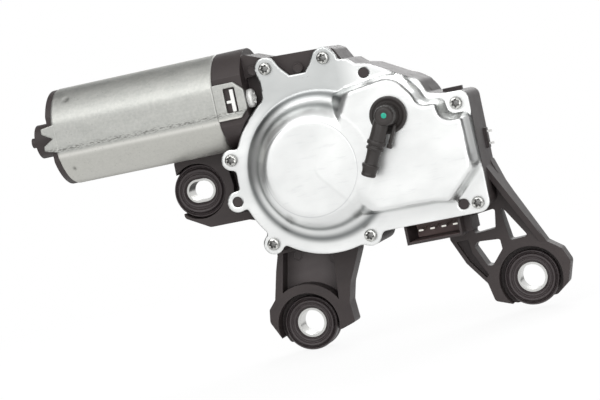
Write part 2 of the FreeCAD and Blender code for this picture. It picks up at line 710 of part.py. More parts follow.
def motor_can():
    """A drawn steel can with two flats, a latch tab on the front flat and a forked tongue."""
    body = new_body()
    pad(body, [flattened(S.can_half_depth, S.can_radius)], S.can_end, S.can_mouth,
        role="YZ_Plane")
    bore = flattened(S.can_half_depth - S.can_wall, S.can_radius - S.can_wall)
    pocket(body, [bore], S.can_end, S.can_mouth, role="YZ_Plane")
    front = S.motor_depth + S.can_half_depth
    back = front - S.can_wall
    half, middle = S.tab_width / 2, S.motor_height
    reach = S.can_mouth + S.tab_length
    tab = slab([loop((S.can_mouth - 1, middle + half), (reach, middle + half, 2.0),
                     (reach, middle - half, 2.0), (S.can_mouth - 1, middle - half)),
                loop((S.can_mouth + 4.5, middle - 4.9, 0.6), (S.can_mouth + 4.5, middle + 5.8,
                     0.6), (S.can_mouth + 9.7, middle + 5.8, 0.6),
                     (S.can_mouth + 9.7, middle - 4.9, 0.6))], back, front)
    half = S.tongue_width / 2
    tip = S.can_end - S.tongue_length
    tongue = slab([loop((S.can_end + 1, middle + half), (S.can_end + 1, middle - half),
                        (tip, middle - half + 1.6, 0.6), (tip, middle - 2.4, 0.6),
                        (S.can_end - 0.4, middle + 0.2, 0.4), (tip, middle + 2.8, 0.6),
                        (tip, middle + half - 1.0, 0.6))], back, front)
    return node(fused([body, tab, tongue]), "motor_can")


def can_end_cap():
    """The moulded cap that closes the can and holds the rear bearing."""
    body = new_body()
    rim = S.can_end - S.cap_rim
    boss = rim - S.cap_boss_length
    clear = S.can_wall + 0.1
    axis = (-S.motor_depth, S.motor_height)
    pad(body, [flattened(S.can_half_depth - clear, S.can_radius - 0.2)], rim, S.can_end,
        role="YZ_Plane")
    pad(body, [flattened(S.can_half_depth - clear, S.can_radius - clear)], S.can_end,
        S.can_end + S.cap_plug, role="YZ_Plane")
    pad(body, [circle(*axis, S.cap_boss_radius)], boss, rim, role="YZ_Plane")
    pad(body, [circle(axis[0] - S.cap_nub_offset, axis[1], S.cap_nub_radius)],
        boss - S.cap_nub_length, rim, role="YZ_Plane")
    pocket(body, [circle(*axis, S.bearing_radius)], boss + 2.0, S.can_end + S.cap_plug,
           role="YZ_Plane")
    return node(body, "can_end_cap")


def motor_bearings():
    """Sintered bushes at the rear, between rotor and worm, and beyond the worm."""
    rear = S.can_end - S.cap_rim - S.cap_boss_length + 2.4
    bore = S.shaft_radius + S.running_gap
    node(ring_x(rear, rear + S.bearing_length, bore, S.bearing_radius), "rear_bearing")
    middle = S.worm_start - 4.0
    node(ring_x(middle - S.bearing_length, middle, bore, S.bearing_radius), "middle_bearing")
    front = S.front_journal_start + 0.1
    end = S.front_journal_start + S.front_bearing_length
    node(ring_x(front, end, S.journal_radius + S.running_gap, S.front_bearing_radius),
         "front_bearing")
    node(ring_x(end, end + S.thrust_pad_thickness - 0.1, 0.0, S.front_bearing_radius - 0.1),
         "thrust_pad")


def thread_start():
    """Where the middle of the thread starts, on the worm's back."""
    return float(S.worm_start) + 2.2


def wheel_phase():
    """Angle from the top at which the wheel has a tooth, so that a thread lies in a gap."""
    lead = math.pi * float(S.gear_module)
    below = thread_start() + 0.75 * lead
    gap = (float(S.gear_x) - below) % lead
    return (lead / 2 + gap) / (float(S.gear_module) * float(S.wheel_teeth) / 2)


def armature_shaft():
    """The steel shaft with the worm rolled on it."""
    body = new_body()
    start = S.can_end - S.cap_rim - S.cap_boss_length + 3.4
    root = S.worm_pitch_radius - S.gear_module * S.dedendum
    worm_end = S.worm_start + S.worm_length
    spin(body, loop((start, 0), (start, S.shaft_radius), (S.worm_start - 1.0, S.shaft_radius),
                    (S.worm_start, root), (worm_end, root), (worm_end, S.journal_radius),
                    (S.front_journal_start + S.front_bearing_length - 0.2, S.journal_radius),
                    (S.front_journal_start + S.front_bearing_length - 0.2, 0)), "H_Axis")
    lead = math.pi * float(S.gear_module)
    pitch_half = lead / 4 - 0.05
    flank = math.tan(math.radians(20))
    tip = float(S.worm_pitch_radius + S.gear_module * S.addendum)
    pitch_radius = float(S.worm_pitch_radius)
    low = float(root) - 0.1
    middle = thread_start()
    widths = {r: pitch_half - (r - pitch_radius) * flank for r in (low, tip)}
    profile = loop((middle - widths[low], low), (middle - widths[tip], tip),
                   (middle + widths[tip], tip), (middle + widths[low], low))
    sketch = draw(body, "XY_Plane", [profile])
    thread = body.newObject("PartDesign::AdditiveHelix", "Thread")
    thread.Profile = sketch
    thread.ReferenceAxis = (sketch, ["H_Axis"])
    thread.Mode = 0
    thread.Pitch = lead
    thread.Height = math.floor((float(S.worm_length) - 4.4) / lead) * lead
    thread.Refine = False
    place(body, 0.0, -S.motor_depth, S.motor_height)
    return node(body, "armature_shaft")


def at_motor_axis(body):
    return place(body, 0.0, -S.motor_depth, S.motor_height)


def rotor():
    """Laminated core with slots, its windings and the commutator."""
    end = S.rotor_start + S.rotor_length
    core = new_body()
    pad(core, [circle(0, 0, S.rotor_radius)], S.rotor_start, end, role="YZ_Plane")
    pocket(core, [circle(0, 0, S.shaft_radius)], S.rotor_start, end, role="YZ_Plane")
    slot = pocket(core, [loop((-0.7, S.rotor_radius + 1), (-0.7, 12.4), (-2.0, 12.0),
                              (-1.2, 8.0), (1.2, 8.0), (2.0, 12.0), (0.7, 12.4),
                              (0.7, S.rotor_radius + 1))],
                  S.rotor_start, end, role="YZ_Plane")
    pattern_round(core, slot, "X_Axis", S.slot_count)
    node(at_motor_axis(core), "lamination_stack")
    coils = new_body()
    left = S.rotor_start - S.winding_length
    right = end + S.winding_length
    inner = S.shaft_radius + 1.0
    spin(coils, loop((left, inner), (left, S.winding_radius - 2), (left + 2, S.winding_radius),
                     (S.rotor_start, S.winding_radius), (S.rotor_start, inner)), "H_Axis")
    bar = pad(coils, [loop((-0.9, 8.2), (-1.6, 11.8), (1.6, 11.8), (0.9, 8.2))],
              S.rotor_start - 1.0, end + 1.0, role="YZ_Plane")
    pattern_round(coils, bar, "X_Axis", S.slot_count)
    spin(coils, loop((right, inner), (right, S.winding_radius - 2),
                     (right - 2, S.winding_radius), (end, S.winding_radius), (end, inner)),
         "H_Axis")
    node(at_motor_axis(coils), "windings")
    stop = S.commutator_start + S.commutator_length
    start = S.commutator_start
    node(turned_x([(start, S.shaft_radius), (start, S.commutator_radius + 1.2),
                   (start + 1.5, S.commutator_radius + 1.2), (start + 1.5,
                   S.commutator_radius), (stop, S.commutator_radius),
                   (stop, S.shaft_radius)]), "commutator")


def magnets():
    """Two curved magnets on the round sides of the can."""
    ring = ring_x(S.rotor_start - 2.0, S.rotor_start - 2.0 + S.magnet_length,
                  S.rotor_radius + S.magnet_gap, S.can_radius - S.can_wall)
    pieces = []
    for side in (1, -1):
        reach = (S.can_radius + 1) * side
        start = S.rotor_radius * 0.3 * side
        low, high = (start, reach) if side > 0 else (reach, start)
        half = S.magnet_width / 2
        window = block((S.rotor_start - 3.0, -S.motor_depth - half, S.motor_height + low),
                       (S.rotor_start + S.magnet_length + 1.0, -S.motor_depth + half,
                        S.motor_height + high))
        pieces.append(shared(ring, window))
    return node(group(pieces), "magnets")


def brush_gear():
    """The card across the can's mouth with its brushes, holders, springs and chokes."""
    card = new_body()
    start, end = S.card_start, S.card_start + S.card_thickness
    clear = S.can_wall + 0.2
    pad(card, [flattened(S.can_half_depth - clear, S.can_radius - clear)], start, end,
        role="YZ_Plane")
    pocket(card, [circle(-S.motor_depth, S.motor_height, S.commutator_radius + 0.8)],
           start, end, role="YZ_Plane")
    node(card, "brush_card")
    holders, brushes, springs = [], [], []
    wall, half = S.holder_wall, S.brush_width / 2
    left = start - S.brush_depth - wall * 2
    for side in (1, -1):
        turn = FreeCAD.Rotation(V(1, 0, 0), 0 if side > 0 else 180)
        foot = S.commutator_radius + 1.5
        brush_foot = S.commutator_radius + 0.05
        brush_top = brush_foot + S.brush_length
        top = brush_top + 3.5
        outer = block((left, -half - wall, foot), (start, half + wall, top + wall))
        inner = block((left + wall, -half, foot - 1), (start - wall, half, top))
        holder = cut(outer, [inner])
        brush = block((left + wall, -half, brush_foot), (start - wall, half, brush_top))
        spring = doc.addObject("Part::Cylinder", "Spring")
        bind(spring, "Radius", 1.7)
        bind(spring, "Height", top - brush_top)
        place(spring, (left + start) / 2, 0.0, brush_top)
        for thing, kept in ((holder, holders), (brush, brushes), (spring, springs)):
            moved = group([thing])
            kept.append(place(moved, 0.0, -S.motor_depth, S.motor_height, turn))
    node(group(holders), "brush_holders")
    node(group(brushes), "brushes")
    node(group(springs), "brush_springs")
    chokes = []
    for side in (1, -1):
        y, z = -S.motor_depth + 8.0 * side, S.motor_height - 8.0
        chokes.append(turned_x([(end, 0), (end, 1.4), (end + 1, 2.2), (end + 6.5, 2.2),
                                (end + 7.5, 1.4), (end + 7.5, 0)], y, z))
    node(group(chokes), "suppression_chokes")


def can_latch():
    """The latch block that shows in the tab's window, and the screw beside the tab."""
    front = S.motor_depth + S.can_half_depth
    left = S.can_mouth + 6.3
    floor = front - S.can_wall - 0.1
    node(slab([loop((left, 14.4), (left, 24.3), (left + 2.4, 24.3), (left + 2.4, 14.4))],
              floor, front - 0.3), "latch_block")
    head = CAN_SCREW_X
    screw = turned_x([(head - 3.6, 0), (head - 3.6, 1.8), (head, 1.8), (head, 4.2),
                      (head + 1.0, 4.2), (head + 2.2, 3.0), (head + 2.7, 0)],
                     -CAN_SCREW_DEPTH, S.motor_height - 0.5)
    node(screw, "can_screw")


# Gears.


def flank_angle(radius, pitch_radius, half_angle):
    """Half of a tooth's angle at a radius, on a 20 degree involute."""
    base = pitch_radius * math.cos(math.radians(20))
    rolls = []
    for r in (pitch_radius, max(radius, base)):
        pressure = math.acos(base / r)
        rolls.append(math.tan(pressure) - pressure)
    return half_angle + rolls[0] - rolls[1]


def tooth(middle, teeth, play):
    """Corners of one tooth about the centre, counter-clockwise."""
    module = float(S.gear_module)
    pitch_radius = module * teeth / 2
    half_angle = (math.pi * module / 2 - play) / 2 / pitch_radius
    radii = [pitch_radius - module * float(S.dedendum), pitch_radius - 0.45 * module,
             pitch_radius, pitch_radius + module * float(S.addendum)]
    spots = [(r, -flank_angle(r, pitch_radius, half_angle)) for r in radii]
    spots += [(r, -a) for r, a in reversed(spots)]
    return [(r * math.cos(middle + a), r * math.sin(middle + a)) for r, a in spots]


def gear_corners(teeth, phase, play, first=0, last=None):
    """Corners of all teeth, or of a run of them. phase is the angle of tooth zero."""
    last = teeth - 1 if last is None else last
    corners = []
    for i in range(first, last + 1):
        corners += tooth(phase + 2 * math.pi * i / teeth, teeth, play)
    return corners


def worm_wheel():
    """The moulded wheel, with teeth that lean by the worm's lead angle."""
    teeth = int(float(S.wheel_teeth))
    pitch_radius = float(S.gear_module) * teeth / 2
    half = float(S.wheel_half_width)
    twist = half * float(S.gear_module) / 2 / float(S.worm_pitch_radius) / pitch_radius
    wires = []
    for side in (-1, 1):
        corners = gear_corners(teeth, math.pi / 2 + wheel_phase() + side * twist,
                               float(S.backlash))
        spots = [V(x, -side * half, z) for x, z in corners]
        wires.append(Part.makePolygon(spots + spots[:1]))
    blank = doc.addObject("Part::Feature", "Teeth")
    blank.Shape = Part.makeLoft(wires, True, True)
    place(blank, S.gear_x, -S.motor_depth, S.gear_z)
    back, front = S.motor_depth - S.wheel_half_width, S.motor_depth + S.wheel_half_width
    web_back = S.motor_depth - S.wheel_web / 2
    web_front = S.motor_depth + S.wheel_web / 2
    inner = pitch_radius - 4.0
    hub = ring_y(13.9, back, 0.0, 7.0, S.gear_x, S.gear_z)
    cuts = [ring_y(back - 1, web_back, S.wheel_boss_radius, inner, S.gear_x, S.gear_z),
            ring_y(web_front, front + 1, S.wheel_boss_radius, inner, S.gear_x, S.gear_z),
            ring_y(13.0, front - 2.0, 0.0, S.axle_radius + S.running_gap, S.gear_x, S.gear_z),
            ring_y(back + 2.0, front + 1, 0.0, S.crank_bush_radius, *CRANK)]
    node(cut(fused([blank, hub]), cuts), "worm_wheel")
    node(ring_y(back + 2.0, front, S.crank_pin_radius + 0.1, S.crank_bush_radius, *CRANK),
         "crank_bush")
    node(ring_y(web_back - 0.6, web_back, S.wheel_boss_radius + 2, inner - 3, S.gear_x,
                S.gear_z), "contact_ring")
    node(turned_y([(S.case_floor + 0.5, 0), (S.case_floor + 0.5, S.axle_radius),
                   (front - 2.3, S.axle_radius), (front - 2.3, 0)], S.gear_x, S.gear_z),
         "wheel_axle")


# The linkage. The output shaft stands at a dead centre of the crank, where the wiper parks.


def meet(first, reach_a, second, reach_b, side):
    """Where two circles meet, on the left (1) or right (-1) of the way from first to second."""
    (ax, az), (bx, bz) = first, second
    span = math.hypot(bx - ax, bz - az)
    along = (reach_a ** 2 - reach_b ** 2 + span ** 2) / (2 * span)
    off = side * math.sqrt(reach_a ** 2 - along ** 2)
    ux, uz = (bx - ax) / span, (bz - az) / span
    return (ax + ux * along - uz * off, az + uz * along + ux * off)


LINK_LENGTH = 33.97
GEAR_CENTRE = (float(S.gear_x), float(S.gear_z))
SECTOR_RADIUS = float(S.gear_module * S.sector_teeth / 2)
PINION_RADIUS = float(S.gear_module * S.pinion_teeth / 2)
ROCKER_LENGTH = SECTOR_RADIUS + PINION_RADIUS
ROCKER_END = meet(GEAR_CENTRE, LINK_LENGTH - float(S.crank_radius), (0.0, 0.0),
                  ROCKER_LENGTH, -1)
def crank_place(end):
    """Centre of the crank pin when it lies in line with the rocker's end."""
    reach = math.hypot(end[0] - GEAR_CENTRE[0], end[1] - GEAR_CENTRE[1])
    push = -float(S.crank_radius) / reach
    return (GEAR_CENTRE[0] + (end[0] - GEAR_CENTRE[0]) * push,
            GEAR_CENTRE[1] + (end[1] - GEAR_CENTRE[1]) * push)


CRANK = crank_place(ROCKER_END)


def linkage():
    """The sector link from the crank, the rocker that carries it and their pins."""
    start, end = S.link_depth, S.link_depth + S.link_thickness
    link = new_body()
    pad(link, [circle(*ROCKER_END, 7.0)], start, end)
    pad(link, [bar_between(CRANK, 5.5, ROCKER_END, 7.0)], start, end)
    pad(link, [circle(*CRANK, 5.5)], start, end)
    mesh = math.atan2(-ROCKER_END[1], -ROCKER_END[0])
    pitch = 2 * math.pi / float(S.sector_teeth)
    teeth = gear_corners(int(float(S.sector_teeth)), mesh, float(S.backlash) / 2, -2, 4)
    rim = [(ROCKER_END[0] + x, ROCKER_END[1] + z) for x, z in teeth]
    tails = [mesh - 2.4 * pitch, mesh + 4.4 * pitch]
    feet = [(ROCKER_END[0] + 6.5 * math.cos(a), ROCKER_END[1] + 6.5 * math.sin(a))
            for a in tails]
    pad(link, [loop(ROCKER_END, feet[0], *rim, feet[1])], start, end)
    pocket(link, [circle(*ROCKER_END, S.rocker_pin_radius + S.running_gap)], start, end)
    pocket(link, [circle(*CRANK, S.crank_pin_radius)], start, end)
    node(link, "sector_link")
    node(turned_y([(24.4, 0), (24.4, S.crank_pin_radius), (end, S.crank_pin_radius),
                   (end, 4.2), (end + 0.8, 3.8), (end + 0.8, 0)], *CRANK), "crank_pin")
    plate = new_body()
    front = S.rocker_depth + S.rocker_thickness
    pad(plate, [circle(0, 0, 8.5)], S.rocker_depth, front)
    pad(plate, [bar_between((0, 0), 8.5, ROCKER_END, 6.0)], S.rocker_depth, front)
    pad(plate, [circle(*ROCKER_END, 6.0)], S.rocker_depth, front)
    pocket(plate, [circle(0, 0, S.output_radius + S.running_gap)], S.rocker_depth, front)
    pocket(plate, [circle(*ROCKER_END, S.rocker_pin_radius)], S.rocker_depth, front)
    node(plate, "rocker_plate")
    node(turned_y([(start - 1.3, 0), (start - 1.3, 4.4), (start - 0.2, 5.0),
                   (start - 0.1, S.rocker_pin_radius), (front, S.rocker_pin_radius),
                   (front, 4.4), (front + 0.9, 3.9), (front + 0.9, 0)], *ROCKER_END),
         "rocker_pin")
    spacer_inner = S.rocker_pin_radius + S.running_gap
    node(ring_y(end + 0.1, S.rocker_depth, spacer_inner, 5.0, *ROCKER_END), "link_spacer")


def output():
    """The hollow output shaft with its pinion, rings, washers, bushes and seal."""
    radius = S.output_radius
    node(turned_y([(S.output_front, S.water_bore), (S.output_front, radius),
                   (S.cone_start, radius), (S.cone_end, S.cone_radius),
                   (S.cone_end, S.thread_radius), (S.output_tip, S.thread_radius),
                   (S.output_tip, S.water_bore)]), "output_shaft")
    pinion = new_body()
    teeth = int(float(S.pinion_teeth))
    mesh = math.atan2(ROCKER_END[1], ROCKER_END[0])
    rim = gear_corners(teeth, mesh + math.pi / teeth, float(S.backlash) / 2)
    start, end = S.link_depth, S.link_depth + S.link_thickness
    pad(pinion, [loop(*rim)], start, end)
    pocket(pinion, [circle(0, 0, radius)], start, end)
    node(pinion, "pinion")
    low = S.neck_boss_front + 0.1
    node(ring_y(low, low + S.washer_thickness, radius, 7.0), "thrust_washer")
    front = S.rocker_depth + S.rocker_thickness
    node(ring_y(front + 0.2, front + 1.2, radius, 7.2), "rocker_circlip")
    node(ring_y(S.neck_end - 0.2, S.neck_end - 1.0, radius, 8.0), "neck_washer")
    node(ring_y(S.neck_end - 1.0, S.neck_end - 2.0, radius, 7.0), "neck_circlip")
    bush = (radius + S.running_gap, radius + S.shaft_bush_wall)
    node(ring_y(12.0, S.neck_boss_front - 0.2, *bush), "inner_shaft_bush")
    node(ring_y(S.neck_end + 2.5, -6.0, *bush), "outer_shaft_bush")
    node(turned_y([(S.neck_end + 2.4, radius + 0.8), (S.neck_end + 2.4, bush[1] + 1.6),
                   (S.neck_end + 0.1, bush[1] + 1.6), (S.neck_end + 0.1, radius + 0.3),
                   (S.neck_end + 0.9, radius + 0.3)]), "shaft_seal")


# Electrical parts.


def connector():
    """The plug socket below the case, its four blades, the board and what stands on it."""
    shell = new_body()
    wall, top = S.plug_wall, S.case_bottom
    pad(shell, [loop((S.plug_left, S.plug_low), (S.plug_left, top), (S.plug_right, top),
                     (S.plug_right, S.plug_low))], S.plug_back, S.plug_mouth)
    pocket(shell, [loop((S.plug_left + wall, S.plug_low + wall), (S.plug_left + wall,
                        top - wall), (S.plug_right - wall, top - wall),
                        (S.plug_right - wall, S.plug_low + wall))],
           S.plug_floor, S.plug_mouth)
    half, thick = S.blade_width / 2, S.blade_thickness / 2
    places = blade_places()
    for x in places:
        pocket(shell, [loop((x - half, S.blade_height - thick), (x - half, S.blade_height
                            + thick), (x + half, S.blade_height + thick),
                            (x + half, S.blade_height - thick))], 10.1, S.plug_floor)
        pocket(shell, [loop((x - half, S.blade_height - thick), (x - half, top), (x + half,
                            top), (x + half, S.blade_height - thick))], 10.1, 10.8)
    node(shell, "connector_shell")
    blades = []
    for x in places:
        flat = block((x - half, -S.blade_tip, S.blade_height - thick),
                     (x + half, -10.1, S.blade_height + thick))
        riser = block((x - half, -10.8, S.blade_height + thick), (x + half, -10.1, -37.0))
        blades.append(fused([flat, riser]))
    node(group(blades), "connector_blades")
    front = S.board_depth + S.board_thickness
    board = slab([loop((-1.5, -38.2), (-1.5, -26.0), (27.0, -26.0), (27.0, -31.0),
                       (19.6, -38.2))], S.board_depth, front)
    node(board, "circuit_board")
    node(slab([loop((2.0, -37.0), (2.0, -27.5), (14.5, -27.5), (14.5, -37.0))], front, 24.0),
         "relay")
    node(turned_y([(front, 0), (front, 3.4), (22.5, 3.4), (23.0, 2.9), (23.0, 0)], 20.6,
                  -30.6), "capacitor")
    pins = [block((S.case_right + 1.2, -14.6, z - 0.5), (S.case_right + 3.2, -13.6, z + 0.5))
            for z in (-15.9, -21.1)]
    node(group(pins), "side_terminals")
    fingers = []
    for reach in (17.0, 19.5, 22.0):
        z = S.gear_z - reach
        foot = block((S.gear_x - 6.0, -S.case_floor - 0.6, z - 0.7),
                     (S.gear_x + 1.0, -S.case_floor, z + 0.7))
        rise = block((S.gear_x + 0.4, -17.3, z - 0.7),
                     (S.gear_x + 1.0, -S.case_floor - 0.6, z + 0.7))
        fingers.append(fused([foot, rise]))
    node(group(fingers), "park_contacts")


# Washer feed through the shaft.


def washer_feed():
    """The tube through the hollow shaft, and the elbow with its hose barb on the cover."""
    seat = S.case_rim + S.gasket_thickness + S.sheet + S.plateau_rise
    tube_top = seat + 3.0
    node(turned_y([(tube_top, 0.9), (tube_top, S.water_tube_radius),
                   (S.output_tip - 1.5, S.water_tube_radius), (S.output_tip - 1.5, 0.9)]),
         "washer_tube")
    disc = seat + S.elbow_disc_height
    hub = disc + S.elbow_hub_height
    base = turned_y([(seat - 4.0, S.water_tube_radius), (seat - 4.0, 2.9), (seat, 2.9),
                     (seat, S.elbow_disc_radius), (disc - 0.5, S.elbow_disc_radius),
                     (disc, S.elbow_disc_radius - 0.5), (disc, S.elbow_hub_radius),
                     (hub - 1.2, S.elbow_hub_radius), (hub, S.elbow_hub_radius - 1.6), (hub, 0),
                     (tube_top, 0), (tube_top, S.water_tube_radius)])
    pipe_depth = disc + S.elbow_hub_height / 2 + 0.3
    turn = FreeCAD.Rotation(V(0, 1, 0), 115.95)
    r, end, bore = S.elbow_pipe_radius, S.elbow_length, S.elbow_bore
    pipe = turned_x([(0, bore), (0, r), (11.0, r), (11.0, r + 0.7), (12.6, r + 0.7),
                     (12.6, r - 0.1), (13.6, r - 0.1), (13.6, r + 0.4), (14.8, r + 0.4),
                     (14.8, r - 0.4), (end - 5.2, r - 0.4), (end - 5.2, r + 0.7),
                     (end, r - 0.7), (end, bore)], -pipe_depth, 0.0, turn)
    node(fused([base, pipe]), "washer_elbow")
    under = seat - S.sheet
    node(ring_y(under - 1.4, under, 2.9, 4.6), "elbow_grommet")


# Mounting bushes.


def mounting_bushes():
    """Three grommets with steel sleeves. The left sleeve has a slot to take up tolerance."""
    for side, (x, z) in RUBBER_EYES.items():
        inner = S.sleeve_bore + S.sleeve_wall
        outer, front, back = S.rubber_radius, S.rubber_front, S.rubber_back
        centre = 0.0 if side == "left" else inner
        rubber = new_body()
        profile = [(back, centre), (back, outer - 1.0), (back + 0.8, outer),
                   (S.arm_back, outer), (S.arm_back, S.groove_radius),
                   (S.eye_front, S.groove_radius), (S.eye_front, outer),
                   (front - 0.6, outer), (front, outer - 1.0), (front, outer - 1.8),
                   (front - 1.0, outer - 2.2), (front - 1.0, outer - 3.0),
                   (front, outer - 3.6), (front, centre)]
        spin(rubber, loop(*[(radius, -depth) for depth, radius in profile]))
        place(rubber, x, 0.0, z)
        if side == "left":
            wide = S.sleeve_wall * 2
            sleeve = new_body()
            pad(sleeve, [stadium(x, z, S.slot_long + wide, S.slot_short + wide)], 0.0,
                S.sleeve_length)
            pocket(sleeve, [stadium(x, z, S.slot_long, S.slot_short)], 0.0, S.sleeve_length)
            pocket(rubber, [stadium(0, 0, S.slot_long + wide, S.slot_short + wide)],
                   back, front)
        else:
            sleeve = ring_y(0.0, S.sleeve_length, S.sleeve_bore, inner, x, z)
        node(rubber, "bush_rubber_" + side)
        node(sleeve, "bush_sleeve_" + side)


def check_and_write():
    """Stop on a failed object, then write one STEP file per sub-part."""
    doc.recompute()
    for thing in doc.Objects:
        if "Invalid" in thing.State or "Error" in thing.State:
            raise RuntimeError("%s (%s) failed: %s" % (thing.Name, thing.Label, thing.State))
    os.makedirs("parts", exist_ok=True)
    for thing in nodes:
        shape = thing.Shape
        if shape.isNull() or not shape.isValid() or not shape.Solids:
            raise RuntimeError("%s has no valid solid" % thing.Label)
        print(thing.Label, len(shape.Solids), round(shape.Volume, 1))
        shape.exportStep("parts/%s.step" % thing.Label)


gear_case()
cover_plate()
cover_gasket()
cover_screws()
motor_can()
can_end_cap()
motor_bearings()
armature_shaft()
rotor()
magnets()
brush_gear()
can_latch()
worm_wheel()
linkage()
output()
connector()
washer_feed()
mounting_bushes()
check_and_write()
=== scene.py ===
# %% [markdown]
# # A rear wiper motor, dressed in Blender
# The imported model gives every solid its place. This lesson loads it, sets up the camera and the
# light of a product photograph, and then works through the finishes and the pieces that need
# softer or finer shapes than plain solids have.

# %% Load the frame
import math

import bmesh
import bpy
import numpy as np
from mathutils import Matrix, Vector


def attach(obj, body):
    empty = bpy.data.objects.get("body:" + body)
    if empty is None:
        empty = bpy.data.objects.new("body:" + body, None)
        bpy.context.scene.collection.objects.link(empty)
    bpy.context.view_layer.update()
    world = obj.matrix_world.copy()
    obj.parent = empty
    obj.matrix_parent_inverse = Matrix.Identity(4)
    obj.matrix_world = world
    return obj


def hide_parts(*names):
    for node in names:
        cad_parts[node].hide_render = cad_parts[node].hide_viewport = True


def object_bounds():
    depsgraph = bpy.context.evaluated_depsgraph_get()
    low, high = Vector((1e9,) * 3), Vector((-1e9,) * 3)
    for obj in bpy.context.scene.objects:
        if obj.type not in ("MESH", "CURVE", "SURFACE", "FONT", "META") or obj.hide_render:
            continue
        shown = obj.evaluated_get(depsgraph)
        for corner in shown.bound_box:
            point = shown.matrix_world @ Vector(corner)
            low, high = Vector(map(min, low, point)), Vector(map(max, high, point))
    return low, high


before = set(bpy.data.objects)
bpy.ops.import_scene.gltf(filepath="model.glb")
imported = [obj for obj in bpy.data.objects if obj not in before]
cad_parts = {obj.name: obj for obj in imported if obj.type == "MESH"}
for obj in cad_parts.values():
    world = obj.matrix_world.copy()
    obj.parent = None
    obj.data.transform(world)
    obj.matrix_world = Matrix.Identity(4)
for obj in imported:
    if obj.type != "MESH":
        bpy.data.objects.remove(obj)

MM = 0.001
solid_box = [list(corner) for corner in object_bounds()]
print(len(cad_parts), "solids, box", solid_box)

# %% [markdown]
# ## Camera
# The photograph was taken from in front of the cover, a little from the right, with a long lens.
# The camera stands about a metre away, and its own right, up and forward directions are written
# down as measured on the picture, which also holds the tilt of the whole unit in the frame.

# %% Camera
SENSOR = 36.0
FOCAL_PIXELS = 2240.0
PICTURE_WIDTH = 600.0
CLIP_NEAR, CLIP_FAR = 0.05, 30.0
CAMERA_PLACE = Vector((200.32, -957.97, 15.23)) * MM
CAMERA_RIGHT = Vector((0.94690, 0.24544, -0.20769))
CAMERA_UP = Vector((0.18921, 0.09689, 0.97714))
CAMERA_BACK = Vector((0.25996, -0.96456, 0.04530))


def placed(name, data):
    """A new object in the scene."""
    thing = bpy.data.objects.new(name, data)
    bpy.context.scene.collection.objects.link(thing)
    return thing


lens = bpy.data.cameras.new("camera")
lens.sensor_width = SENSOR
lens.lens = FOCAL_PIXELS / PICTURE_WIDTH * SENSOR
lens.clip_start, lens.clip_end = CLIP_NEAR, CLIP_FAR
camera = placed("camera", lens)
turn = Matrix((CAMERA_RIGHT, CAMERA_UP, CAMERA_BACK)).transposed()
camera.matrix_world = Matrix.Translation(CAMERA_PLACE) @ turn.to_4x4()
bpy.context.scene.camera = camera
bpy.context.scene.view_settings.view_transform = "Standard"
print("lens", round(lens.lens, 1), "mm")

# %% [markdown]
# ## Shader maths
# A finish is easier to read as a formula than as a web of nodes. `Value` wraps a socket, so that
# `1 - mask` or `0.4 + 0.1 * noise` adds its own Math nodes. `Finish` is one material, and its
# `node` method adds any other node: its settings come first, then what its sockets get.


# %% Formulas that add nodes
BEVEL_SAMPLES = 6


def combine(operation, *terms):
    """One Math node on numbers and values. At least one term is a Value."""
    finish = next(term.finish for term in terms if isinstance(term, Value))
    return finish.node("ShaderNodeMath", {"operation": operation}, dict(enumerate(terms)))


def operator(operation, swapped=False):
    """A method that adds one Math node, whose two terms may be swapped."""
    return lambda self, other: combine(operation, *((other, self) if swapped else (self, other)))


class Value:
    """A number, colour or vector that changes over a surface."""

    __add__ = __radd__ = operator("ADD")
    __mul__ = __rmul__ = operator("MULTIPLY")
    __sub__, __rsub__ = operator("SUBTRACT"), operator("SUBTRACT", True)
    __truediv__, __pow__ = operator("DIVIDE"), operator("POWER")

    def __init__(self, finish, socket):
        self.finish, self.socket = finish, socket

    def __neg__(self):
        return self * -1.0

    def do(self, operation, *others):
        """Any other operation of the Math node."""
        return combine(operation, self, *others)

    def clipped(self):
        """The value, kept between 0 and 1."""
        return self.do("MAXIMUM", 0.0).do("MINIMUM", 1.0)


